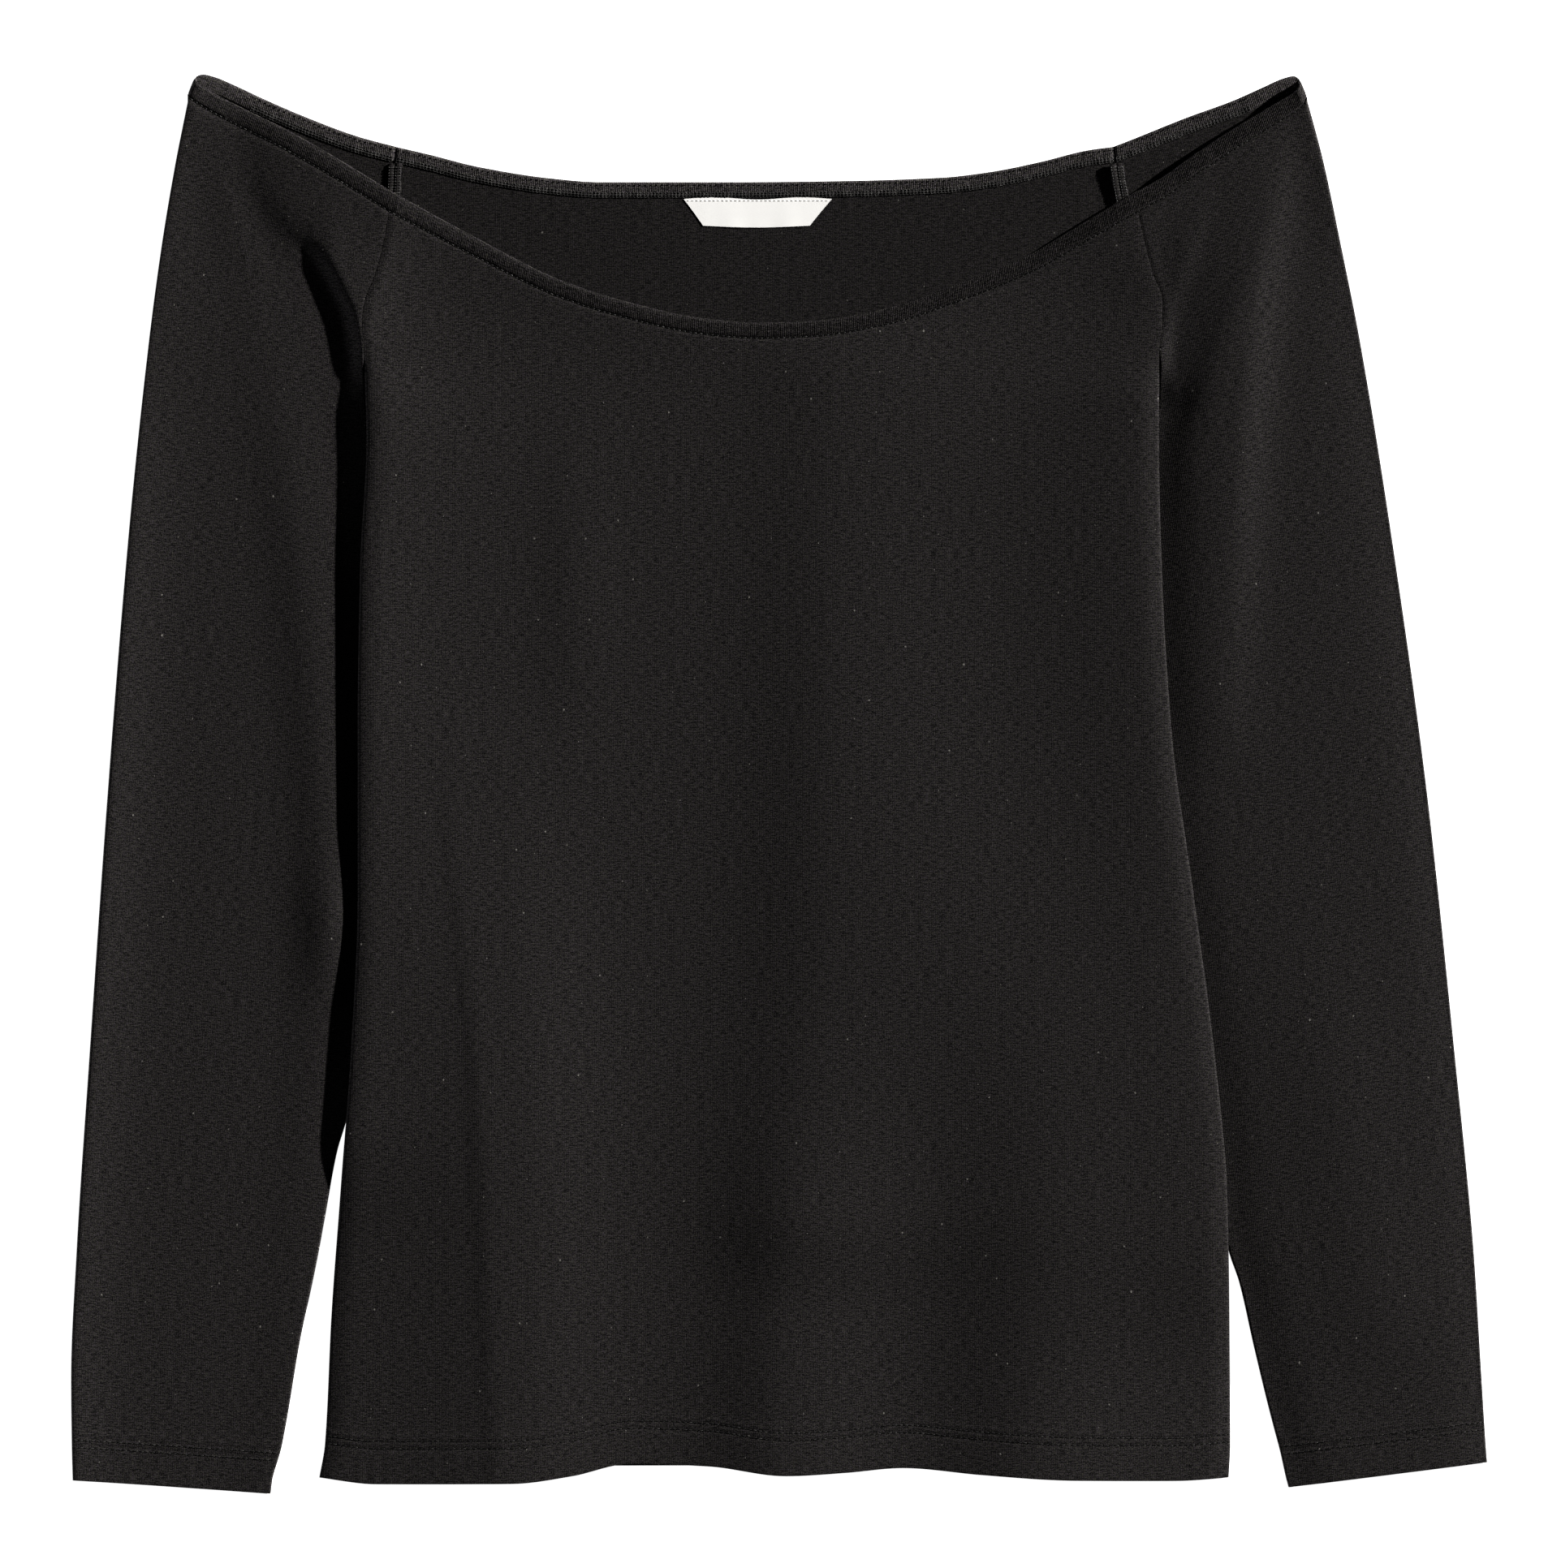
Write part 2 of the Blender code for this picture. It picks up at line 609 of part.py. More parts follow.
def sleeve_sections(side):
    """Grid of a sleeve's outer face. Each row runs along the front, round the outer fold and back."""
    seam, outer_corner = (np.array([share]) for share in (0.0, 1.0))
    inner_y = {}
    for layer in ("front", "back"):
        seam_base, _ = sleeve_band_base(side, layer, seam, SLEEVE_BAND_GAP)
        inner_y[layer] = row_heights("sleeve", CUFF_INNER_Y[side], seam_base[0, 1])
    outer_y = smooth(SLEEVE_TILT, inner_y["front"], COLUMN[side])
    fold = np.stack([smooth(SLEEVE_OUTER, outer_y, COLUMN[side]), outer_y], axis=-1)
    fold[-1] = sleeve_band_base(side, "front", outer_corner, SLEEVE_BAND_GAP)[0][0]
    radius = smooth(OUTER_RADIUS, outer_y, COLUMN[side])[:, None]
    rows = len(outer_y)
    inner_arcs = np.broadcast_to(SLEEVE_INNER_ARCS, (rows, len(SLEEVE_INNER_ARCS)))
    outer_arcs = np.broadcast_to(SLEEVE_OUTER_ARCS, (rows, len(SLEEVE_OUTER_ARCS)))
    outer_inset, outer_drop = roll(outer_arcs, radius, 1.0)
    layers, top_share = {}, {}
    for layer in ("front", "back"):
        y = inner_y[layer]
        tuck = smooth(TUCK, y, COLUMN[side])
        seam_x = front_edge(y, side) if layer == "front" else back_edge(y, side)
        inner = np.stack([seam_x - OUTWARD[side] * tuck, y], axis=-1)
        lift, roof = (edge_height(SLEEVE_ROLL, y, side, kind) for kind in (LIFT, TOP))
        share_rolled = smooth(ROLLED, y)[:, None]
        inner_inset, inner_drop = roll(inner_arcs, ((roof - lift) / 2)[:, None], share_rolled)
        width = np.linalg.norm(fold - inner, axis=1)[:, None]
        first, last = inner_inset / width, 1 - outer_inset[:, ::-1] / width
        between = columns_between(first, last, MIDDLE_COLUMNS["sleeve " + layer])
        share = np.concatenate([first, between, last], axis=1)
        top, _ = sleeve_band_base(side, layer, share[-1], SLEEVE_BAND_GAP)
        cuff = inner[0] * (1 - share[0][:, None]) + fold[0] * share[0][:, None]
        plan = plan_rows(inner, fold, share, cuff, top, SLEEVE_END_BEND)
        fall = np.concatenate([inner_drop, np.zeros_like(between), outer_drop[:, ::-1]], axis=1)
        from_inner, from_outer = share * width, (1 - share) * width
        if layer == "front":
            height = sleeve_top(side, plan, from_inner, from_outer, roof[:, None], radius) - fall
        else:
            height = lift[:, None] * (1 - step(from_inner / SLEEVE_LIFT_FALL)) + fall
        layers[layer] = np.concatenate([plan, height[..., None]], axis=-1)
        top_share[layer] = share[-1]
    loop = np.concatenate([layers["front"], layers["back"][:, -2::-1]], axis=1)
    return loop, WIDE_ROWS["sleeve"] + CLOSE_ROWS, top_share


def sleeve_top(side, plan, from_inner, from_outer, roof, radius):
    """Upper face of a sleeve: low along its middle, full at its folds, high on the cap."""
    x, y = plan[..., 0], plan[..., 1]
    climb = np.linspace(0.0, 1.0, len(plan))[:, None]
    near_neck = step((climb - SLEEVE_NECK_FROM) / (1 - SLEEVE_NECK_FROM))
    middle = SLEEVE_MIDDLE_TOP[side] + SLEEVE_NECK_LOFT[side] * near_neck
    beyond = (x - smooth(CAP_FOLD, y, COLUMN[side])) * OUTWARD[side]
    half = smooth(CAP_FOLD, y, 3)
    on_cap = 1 - step((beyond + half) / (2 * half))
    below = np.exp(-((from_inner / SLEEVE_INNER_REACH) ** 2))
    cap_share = step((y - CAP_FROM_Y) / CAP_BLEND)
    near_inner = below * (1 - cap_share) + on_cap * cap_share
    past_roll = np.maximum(from_outer - radius, 0.0) / SLEEVE_OUTER_REACH[side]
    near_outer = np.exp(-(past_roll**SLEEVE_OUTER_SHAPE))
    soft = fold_height(SLEEVE_FOLDS[side], x, y) * (1 - below) * (1 - near_outer)
    rise = (roof - middle) * near_inner
    return middle + rise + soft + (2 * radius - middle) * near_outer * (1 - near_inner)


def sleeve(side, material):
    grid, closed_rows, top_share = sleeve_sections(side)
    cloth_wall("sleeve_" + side, grid, WALL, material, facing=OUTWARD[side], closed_rows=closed_rows)
    return grid[-1, :, 2], top_share


def sleeve_band(side, heights, share, material):
    """The neckband over a sleeve's top, from the front seam round the outer fold to the back seam."""
    bases, rims = zip(*(sleeve_band_base(side, layer, share[layer]) for layer in ("front", "back")))
    base = np.concatenate([bases[0], bases[1][-2::-1]])
    rim = np.concatenate([rims[0], rims[1][-2::-1]])
    around = np.concatenate([share["front"], share["back"][-2::-1]])
    to_fold = step((around - BAND_THINS_FROM) / BAND_THINS_OVER)
    thickness = (BAND_WALL + (FOLDED_BAND_WALL - BAND_WALL) * to_fold)[None, :, None]
    seam_step = np.array([OUTWARD[side] * SEAM_GAP, 0.0])
    grid_band = band_between(base + seam_step, rim + seam_step, heights)
    cloth_wall("neckband_" + side + "_sleeve", grid_band, thickness, material, facing=OUTWARD[side])


def seam_allowance(side, material):
    """The overlocked edge of the back armhole seam, which shows inside the neck opening."""
    seam_top = BACK_ARMHOLE[-1][0] - BAND_DEPTH["sleeve back"] - 3 * SEAM_GAP
    y = np.linspace(ALLOWANCE_FROM_Y, seam_top, ALLOWANCE_ROWS)
    centre = smooth(BACK_ARMHOLE, y, COLUMN[side])
    across = np.linspace(-0.5, 0.5, 3) * ALLOWANCE_WIDTH
    x = centre[:, None] + across
    climb = np.clip((y - ALLOWANCE_RISES_FROM_Y) / ALLOWANCE_RISE_OVER, 0.0, 1.0)
    rise = ALLOWANCE_RISE * climb[:, None] ** 2
    height = WALL + SEAM_GAP + WALL + rise * (0.5 - across / ALLOWANCE_WIDTH)
    grid = np.stack([x, np.broadcast_to(y[:, None], x.shape), height], axis=-1)
    cloth_wall("seam_allowance_" + side, grid, WALL, material)


def label(material):
    """Plain satin label, a strip with its ends folded in at a slant."""
    climb = np.linspace(0.0, 1.0, BAND_ROWS)[:, None, None]
    share = np.linspace(0.0, 1.0, LABEL_COLUMNS)[None, :, None]
    low = np.array(LABEL_BOTTOM[0]) * (1 - share) + np.array(LABEL_BOTTOM[1]) * share
    high = np.array(LABEL_TOP[0]) * (1 - share) + np.array(LABEL_TOP[1]) * share
    plan = low * (1 - climb) + high * climb
    height = np.full(plan.shape[:2], WALL + LABEL_GAP + WALL)
    cloth_wall("neck_label", np.concatenate([plan, height[..., None]], axis=-1), WALL, material)


def build():
    for old in list(bpy.data.objects):
        bpy.data.objects.remove(old)
    jersey = finish("jersey", CHARCOAL, 0.85)
    band_jersey = finish("band_jersey", CHARCOAL, 0.8)
    thread = finish("overlock_thread", CHARCOAL, 0.75)
    satin = finish("label_satin", WHITE_SATIN, 0.45)
    front_band(front_panel(jersey), band_jersey)
    back_band(back_panel(jersey), band_jersey)
    for side in (RIGHT, LEFT):
        heights, share = sleeve(side, jersey)
        sleeve_band(side, heights, share, band_jersey)
        seam_allowance(side, thread)
    label(satin)


build()
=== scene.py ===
# %% [markdown]
# # A long-sleeved off-shoulder top
# The object is a charcoal jersey top, laid flat on its back and seen from straight above. Its wide
# neckline is folded over elastic, and the inside of the back shows in the opening.
#
# Cloth could be simulated from its cut pieces. Here it lies still and its outline is known, so each
# piece is a grid of points worked out by rules: an outline, a height, rolled edges and soft folds.
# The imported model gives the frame: every piece stands on the node that it replaces.

import bmesh
import bpy
import numpy as np
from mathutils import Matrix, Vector
from mathutils.bvhtree import BVHTree


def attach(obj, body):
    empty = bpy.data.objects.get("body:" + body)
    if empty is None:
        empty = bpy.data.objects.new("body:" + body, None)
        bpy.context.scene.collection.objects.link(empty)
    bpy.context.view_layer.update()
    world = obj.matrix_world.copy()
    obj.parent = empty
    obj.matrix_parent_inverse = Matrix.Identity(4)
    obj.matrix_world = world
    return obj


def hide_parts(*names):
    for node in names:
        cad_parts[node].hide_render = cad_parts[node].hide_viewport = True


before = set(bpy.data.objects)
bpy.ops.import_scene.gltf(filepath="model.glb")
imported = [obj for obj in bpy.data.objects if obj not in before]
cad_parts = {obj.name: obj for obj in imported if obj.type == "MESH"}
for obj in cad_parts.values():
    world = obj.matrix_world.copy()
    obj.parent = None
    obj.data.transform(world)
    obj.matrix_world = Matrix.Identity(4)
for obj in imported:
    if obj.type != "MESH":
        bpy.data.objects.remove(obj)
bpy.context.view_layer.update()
MM = 0.001
print("nodes:", sorted(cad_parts))

# %% [markdown]
# ## Node helpers
# A material is a tree of small nodes, and so are the rules for ribs and stitches. These helpers keep
# each tree readable: an input is given by its name or number, as a value or as another node's output.

# %% Helpers for node trees
def connect(tree, made, inputs):
    """Link or set inputs of a node, each given by its name or its number."""
    for key, value in inputs.items():
        if isinstance(value, bpy.types.NodeSocket):
            tree.links.new(value, made.inputs[key])
        else:
            made.inputs[key].default_value = value


def add_node(tree, kind, inputs=None, **settings):
    made = tree.nodes.new(kind)
    for key, value in settings.items():
        setattr(made, key, value)
    connect(tree, made, inputs or {})
    return made


def sum_node(tree, operation, *values):
    return add_node(tree, "ShaderNodeMath", dict(enumerate(values)), operation=operation).outputs[0]


def times(tree, first, second):
    return sum_node(tree, "MULTIPLY", first, second)


def start_material(name):
    material = bpy.data.materials.new(name)
    material.use_nodes = True
    return material, material.node_tree, material.node_tree.nodes["Principled BSDF"]


# %% Helpers for noise, colours and bumps
def noise(tree, coordinates, scale, detail=2.0, roughness=0.5):
    """Noise whose scale is given for each axis, in features for each metre."""
    mapping = add_node(tree, "ShaderNodeMapping", {"Vector": coordinates, "Scale": scale})
    inputs = {"Scale": 1.0, "Detail": detail, "Roughness": roughness}
    inputs["Vector"] = mapping.outputs["Vector"]
    return add_node(tree, "ShaderNodeTexNoise", inputs).outputs["Fac"]


def spread(tree, value, low, high, to_low=0.0, to_high=1.0):
    """Stretch a range of values to another range, and clamp it."""
    inputs = dict(enumerate((value, low, high, to_low, to_high)))
    return add_node(tree, "ShaderNodeMapRange", inputs).outputs[0]


def blend_colours(tree, share, first, second):
    made = add_node(tree, "ShaderNodeMix", {"Factor": share}, data_type="RGBA")
    colours = [number for number, socket in enumerate(made.inputs) if socket.type == "RGBA"]
    connect(tree, made, dict(zip(colours, (first, second))))
    return next(socket for socket in made.outputs if socket.type == "RGBA")


def add_bump(tree, shader, height, strength, depth):
    inputs = {"Height": height, "Strength": strength, "Distance": depth}
    connect(tree, shader, {"Normal": add_node(tree, "ShaderNodeBump", inputs).outputs["Normal"]})


# %% [markdown]
# ## The jersey
# Jersey is a plain knit. Its face is columns of small V-shaped stitches, called wales, here 0.83 mm
# apart. The yarn mixes dark and lighter fibres, so the cloth is heathered. The knit could be real
# loops of yarn, but there would be half a million of them, so it is a pattern on the cloth's own UV
# map, which holds real distances along the cloth. The wales then follow each piece as it was cut.

# %% Knit pattern
WALE_PITCH = 0.83 * MM
COURSE_PITCH = 0.62 * MM
WALE_WANDER = 0.5
COURSE_SLANT = 0.6
COURSE_WAVE = 0.15


def knit_height(tree, cloth_map, wander):
    """Height of the knit from 0 to 1: rounded wales with a V in each course."""
    split = add_node(tree, "ShaderNodeSeparateXYZ", {0: cloth_map}).outputs
    wales = sum_node(tree, "DIVIDE", split["X"], WALE_PITCH)
    wales = sum_node(tree, "ADD", wales, times(tree, wander, WALE_WANDER))
    across = sum_node(tree, "SUBTRACT", sum_node(tree, "FRACT", wales), 0.5)
    arm = times(tree, sum_node(tree, "ABSOLUTE", across), 2.0)
    courses = sum_node(tree, "DIVIDE", split["Y"], COURSE_PITCH)
    phase = sum_node(tree, "ADD", courses, times(tree, arm, COURSE_SLANT))
    wave = sum_node(tree, "SINE", times(tree, phase, 2 * np.pi))
    loop = sum_node(tree, "MULTIPLY_ADD", wave, COURSE_WAVE, 1 - COURSE_WAVE)
    ridge = sum_node(tree, "SUBTRACT", 1.0, sum_node(tree, "POWER", arm, 2.0))
    return times(tree, ridge, loop)


# %% Jersey material
DARK_FIBRE = (0.0022, 0.0021, 0.0022, 1.0)
OLIVE_FIBRE = (0.0300, 0.0285, 0.0245, 1.0)
PLUM_FIBRE = (0.0305, 0.0265, 0.0300, 1.0)
LINT = (0.12, 0.115, 0.105, 1.0)
# Features for each metre across and along the wales
SPECKLE_SCALE, STREAK_SCALE = (1600, 2000, 1), (300, 1900, 1)
HUE_SCALE, FLECK_SCALE, WANDER_SCALE = (900, 1150, 1), (620, 500, 1), (90, 30, 1)


def jersey_finish(name, knit_depth, pale_share, knit_share):
    """Heathered jersey, with painted shade in the knit's valleys. Each mesh stores a tone that scales
    the colour: darker on the purl side, and paler on a band's inner side as a painted highlight.
    """
    material, tree, shader = start_material(name)
    tone = add_node(tree, "ShaderNodeAttribute", attribute_name="tone").outputs["Fac"]
    cloth_map = add_node(tree, "ShaderNodeUVMap", uv_map="cloth").outputs["UV"]
    wander = noise(tree, cloth_map, WANDER_SCALE, detail=1.0)
    height = knit_height(tree, cloth_map, wander)
    speckle = noise(tree, cloth_map, SPECKLE_SCALE, roughness=0.75)
    streaks = noise(tree, cloth_map, STREAK_SCALE, roughness=0.6)
    heather = sum_node(tree, "MULTIPLY_ADD", streaks, 0.6, speckle)
    heather = spread(tree, heather, 0.90 - pale_share, 1.13 - pale_share)
    hue = spread(tree, noise(tree, cloth_map, HUE_SCALE, detail=1.0), 0.38, 0.62)
    pale_fibre = blend_colours(tree, hue, OLIVE_FIBRE, PLUM_FIBRE)
    colour = blend_colours(tree, heather, DARK_FIBRE, pale_fibre)
    # Painted shade: the colour is darker in the valleys between the wales, where shade would fall.
    shade = times(tree, spread(tree, height, 0.0, 0.8, 1.0 - 0.4 * knit_share, 1.0), tone)
    yarn = add_node(tree, "ShaderNodeVectorMath", {0: colour, "Scale": shade}, operation="SCALE")
    fleck = spread(tree, noise(tree, cloth_map, FLECK_SCALE, detail=0.0), 0.862, 0.885)
    look = {
        "Base Color": blend_colours(tree, fleck, yarn.outputs[0], LINT),
        "Roughness": spread(tree, speckle, 0.3, 0.7, 0.92, 0.78),
        "Specular IOR Level": 0.03,
    }
    connect(tree, shader, look)
    relief = sum_node(tree, "MULTIPLY_ADD", height, knit_share, speckle)
    add_bump(tree, shader, relief, 0.75, knit_depth)
    return material


jersey = jersey_finish("charcoal_jersey", 0.08 * MM, 0.19, 0.55)
band_jersey = jersey_finish("neckband_jersey", 0.07 * MM, 0.19, 0.2)
print("made", jersey.name, "and", band_jersey.name)

# %% [markdown]
# ## Thread and label
# The sewing thread is polyester, a little smoother than the jersey. Each stitch is its own island of
# the mesh, and the random number of its island paints some stitches paler: a painted glint, for the
# stitches that catch the light. The label is white woven satin: fine floats of yarn that run across it.

# %% Thread material
def thread_finish(name, dark, pale):
    material, tree, shader = start_material(name)
    island = add_node(tree, "ShaderNodeNewGeometry").outputs["Random Per Island"]
    place = add_node(tree, "ShaderNodeTexCoord").outputs["Object"]
    fibres = noise(tree, place, (5000, 5000, 5000), detail=1.0)
    # Painted glint: some whole stitches, picked by their island, are mixed towards the pale colour.
    share = times(tree, spread(tree, island, 0.55, 0.95), spread(tree, fibres, 0.2, 0.6))
    look = {
        "Base Color": blend_colours(tree, share, dark, pale),
        "Roughness": spread(tree, fibres, 0.3, 0.7, 0.6, 0.45),
        "Specular IOR Level": 0.15,
    }
    connect(tree, shader, look)
    add_bump(tree, shader, fibres, 0.6, 0.05 * MM)
    return material


thread = thread_finish("charcoal_thread", (0.007, 0.007, 0.0068, 1.0), (0.040, 0.0395, 0.038, 1.0))
looper_thread = thread_finish("looper_thread", (0.016, 0.0155, 0.015, 1.0), (0.060, 0.059, 0.056, 1.0))
white_thread = thread_finish("white_thread", (0.72, 0.72, 0.70, 1.0), (0.86, 0.86, 0.84, 1.0))
print("made", thread.name, looper_thread.name, white_thread.name)


# %% Painted hole shade and label materials
# Painted shade: a near-black colour for small beads set where the needle holes are, standing in for the
# shade inside each hole.
def painted_hole_shade_finish():
    material, tree, shader = start_material("painted_hole_shade")
    place = add_node(tree, "ShaderNodeTexCoord").outputs["Object"]
    fluff = noise(tree, place, (2500, 2500, 2500))
    colour = blend_colours(tree, fluff, (0.0012, 0.0012, 0.0011, 1.0), (0.004, 0.004, 0.0038, 1.0))
    connect(tree, shader, {"Base Color": colour, "Roughness": 1.0, "Specular IOR Level": 0.0})
    return material


def satin_finish():
    material, tree, shader = start_material("label_satin")
    cloth_map = add_node(tree, "ShaderNodeUVMap", uv_map="cloth").outputs["UV"]
    floats = noise(tree, cloth_map, (900, 9000, 1))
    colour = blend_colours(tree, floats, (0.78, 0.775, 0.755, 1.0), (0.90, 0.895, 0.88, 1.0))
    roughness = spread(tree, floats, 0.2, 0.8, 0.42, 0.30)
    connect(tree, shader, {"Base Color": colour, "Roughness": roughness, "Sheen Weight": 0.2})
    add_bump(tree, shader, floats, 0.35, 0.03 * MM)
    return material


painted_hole_shade = painted_hole_shade_finish()
satin = satin_finish()
print("made", painted_hole_shade.name, satin.name)

# %% [markdown]
# ## The measures
# A pattern cutter starts from a table of measures, and so does this garment. All tables are in
# millimetres. Right and left are the wearer's, so the right side is at -X. Between its rows each
# table is read by a cubic that never overshoots, which gives fair curves from few numbers.

# %% Sides and cloth
RIGHT, LEFT = "right", "left"
SIDES = (RIGHT, LEFT)
OUTWARD = {RIGHT: -1.0, LEFT: 1.0}
COLUMN = {RIGHT: 1, LEFT: 2}
LIFT, TOP = 0, 2
WALL = 1.0
# The gaps are negative: cloth edges overlap a little at a seam, so that no light shows through
SEAM_GAP = -0.05
SLEEVE_BAND_GAP = -0.05
BAND_WALL = 1.8
BACK_BAND_WALL = 1.25
FOLDED_BAND_WALL = 1.0
LAYER_GAP = 0.6
UNDERARM_Y = 190.0

# %% Outlines of the body and sleeves
# Body edge from hem to neck: y, right x, left x
BODY_EDGE = (
    (-307.8, -204.5, 199.1),
    (-293.0, -202.0, 199.8),
    (-235.4, -199.1, 199.3),
    (-177.8, -194.8, 198.0),
    (-120.2, -190.3, 192.6),
    (-48.2, -187.2, 183.2),
    (23.8, -187.2, 173.5),
    (95.8, -186.1, 169.2),
    (153.4, -183.2, 167.9),
    (190.0, -184.4, 168.3),
    (205.0, -185.2, 169.6),
    (214.0, -184.0, 169.8),
    (225.4, -179.6, 166.0),
    (239.8, -175.7, 162.0),
    (262.5, -171.7, 157.3),
)
# Back armhole seam above the underarm: y, right x, left x
BACK_ARMHOLE = (
    (190.0, -184.4, 168.3),
    (211.0, -182.0, 167.5),
    (240.0, -175.0, 157.5),
    (258.0, -171.8, 152.3),
    (283.0, -170.6, 148.0),
)
# How far inside the body edge each sleeve's inner fold lies: y, right, left
TUCK = (
    (-315.0, -21.6, -27.3),
    (-278.6, -17.2, -17.5),
    (-249.8, -13.7, -10.8),
    (-221.0, -9.3, -4.6),
    (-206.6, -7.5, -0.1),
    (-192.0, -6.0, 1.8),
    (-163.4, -3.0, 4.0),
    (-149.0, 0.0, 5.0),
    (-120.0, 3.5, 6.0),
    (-84.0, 5.5, 6.5),
    (-30.0, 6.5, 7.0),
    (24.0, 7.0, 7.0),
    (132.0, 7.0, 7.0),
    (155.0, 4.5, 4.5),
    (168.0, 0.2, 0.2),
    (190.0, 0.25, 0.25),
    (200.0, 0.08, 0.08),
)
# The sleeve's outer fold: y, right x, left x
SLEEVE_OUTER = (
    (-308.9, -313.9, 314.5),
    (-293.0, -314.3, 313.2),
    (-264.2, -314.6, 311.4),
    (-206.6, -312.1, 307.8),
    (-120.2, -306.4, 299.5),
    (-5.0, -298.4, 287.3),
    (110.2, -289.1, 271.4),
    (196.6, -280.1, 257.4),
    (239.8, -274.3, 248.8),
    (275.8, -268.2, 241.2),
    (293.8, -264.6, 236.5),
    (303.0, -262.7, 233.9),
)
# Which height on the outer fold each row of the sleeve reaches: inner y, right, left
SLEEVE_TILT = (
    (-315.0, -308.9, -304.0),
    (-312.1, -306.0, -301.0),
    (0.0, 2.0, 2.0),
    (190.0, 214.0, 214.0),
    (253.7, 303.0, 303.0),
)
CUFF_INNER_Y = {RIGHT: -315.0, LEFT: -312.1}

# %% Rims of the neckband
# Front and back rim over the body: x, y
FRONT_RIM = (
    (-171.7, 262.5),
    (-137.2, 243.7),
    (-97.9, 223.9),
    (-65.9, 213.5),
    (-33.5, 206.6),
    (-7.9, 204.7),
    (14.8, 205.6),
    (46.8, 211.0),
    (78.8, 221.8),
    (111.2, 235.4),
    (135.7, 249.8),
    (157.3, 262.5),
)
BACK_RIM = (
    (-170.6, 283.0),
    (-155.2, 279.4),
    (-133.6, 274.0),
    (-101.2, 268.9),
    (-79.6, 267.3),
    (-20.0, 267.3),
    (28.4, 267.8),
    (71.6, 269.3),
    (93.2, 271.8),
    (114.8, 276.1),
    (136.4, 281.4),
    (148.0, 283.0),
)
# Sleeve rims from the armhole seam to the outer fold: share of the way, x, y
SLEEVE_FRONT_RIM = {
    RIGHT: (
        (0.0, -171.7, 262.5),
        (0.33, -201.2, 280.3),
        (0.55, -220.1, 290.9),
        (0.75, -237.6, 299.5),
        (0.88, -249.5, 305.6),
        (0.95, -256.0, 309.4),
        (0.985, -259.2, 311.6),
        (1.0, -260.0, 313.0),
    ),
    LEFT: (
        (0.0, 157.3, 262.5),
        (0.16, 169.1, 268.9),
        (0.39, 185.7, 280.6),
        (0.62, 202.2, 291.3),
        (0.85, 218.9, 301.3),
        (0.95, 227.3, 306.4),
        (0.985, 230.2, 309.6),
        (1.0, 231.0, 311.8),
    ),
}
SLEEVE_BACK_RIM = {
    RIGHT: (
        (0.0, -170.6, 283.0),
        (0.2, -187.6, 287.6),
        (0.44, -209.2, 295.6),
        (0.7, -230.8, 304.9),
        (0.83, -241.6, 310.0),
        (0.92, -251.8, 314.2),
        (0.96, -256.2, 315.1),
        (0.985, -259.1, 314.5),
        (1.0, -260.0, 313.0),
    ),
    LEFT: (
        (0.0, 148.0, 283.0),
        (0.14, 158.0, 286.9),
        (0.4, 179.6, 295.6),
        (0.66, 201.2, 303.5),
        (0.82, 214.0, 309.2),
        (0.92, 223.6, 313.4),
        (0.96, 227.9, 314.4),
        (0.985, 230.4, 313.4),
        (1.0, 231.0, 311.8),
    ),
}
# Depth of the neckband below its rim, and how far it leans sideways for each millimetre of depth
BAND_DEPTH = {
    "front centre": 6.8,
    "front seam": 8.6,
    "back": 7.2,
    "sleeve back": 7.4,
    "sleeve fold": 7.7,
}
BAND_LEAN = {"front seam": 0.20, "back seam": 0.10, "sleeve fold": 0.40}

# %% Hem and heights
# Bottom edge of the front hem: x, y
FRONT_HEM = (
    (-204.5, -307.8),
    (-178.9, -310.7),
    (-118.4, -310.3),
    (-92.5, -307.1),
    (-66.6, -301.7),
    (-32.0, -302.8),
    (2.5, -306.9),
    (28.4, -305.6),
    (54.4, -303.5),
    (88.9, -306.4),
    (132.1, -308.9),
    (175.3, -309.2),
    (199.1, -307.8),
)
BACK_HEM_CORNER_Y = -307.8
BACK_HEM_RISE = 5.2
# Height of the body edge: y, right and left lift of its underside, right and left top of its roll
BODY_ROLL = (
    (-308.0, 0.0, 0.0, 3.4, 3.4),
    (-266.0, 0.0, 0.0, 3.5, 3.6),
    (-206.0, 0.1, 3.4, 3.8, 6.9),
    (-149.0, 3.5, 3.6, 6.8, 7.0),
    (-60.0, 3.6, 3.6, 7.0, 7.0),
    (168.0, 3.6, 3.6, 7.0, 7.0),
    (190.0, 1.9, 1.9, 5.8, 5.4),
    (196.0, 1.0, 1.0, 5.9, 5.1),
    (205.0, 0.4, 0.4, 5.9, 4.8),
    (216.0, 0.0, 0.0, 5.7, 4.6),
    (240.0, 0.0, 0.0, 5.1, 4.6),
    (262.5, 0.0, 0.0, 5.2, 5.1),
)
# The same for each sleeve's inner fold
SLEEVE_ROLL = (
    (-315.0, 0.0, 0.0, 3.0, 3.0),
    (168.0, 0.0, 0.0, 3.0, 3.0),
    *BODY_ROLL[6:],
)
# How far an edge is rolled shut, from 1 at a fold to 0 at an open armhole seam: y, share
ROLLED = ((178.0, 1.0), (184.0, 0.45), (190.0, 0.15), (198.0, 0.0))
# Radius of each sleeve's outer fold: y, right, left
OUTER_RADIUS = (
    (-309.0, 2.3, 1.5),
    (0.0, 2.6, 1.5),
    (120.0, 2.4, 1.6),
    (196.0, 1.9, 1.7),
    (276.0, 2.5, 2.5),
    (303.0, 3.0, 3.0),
)
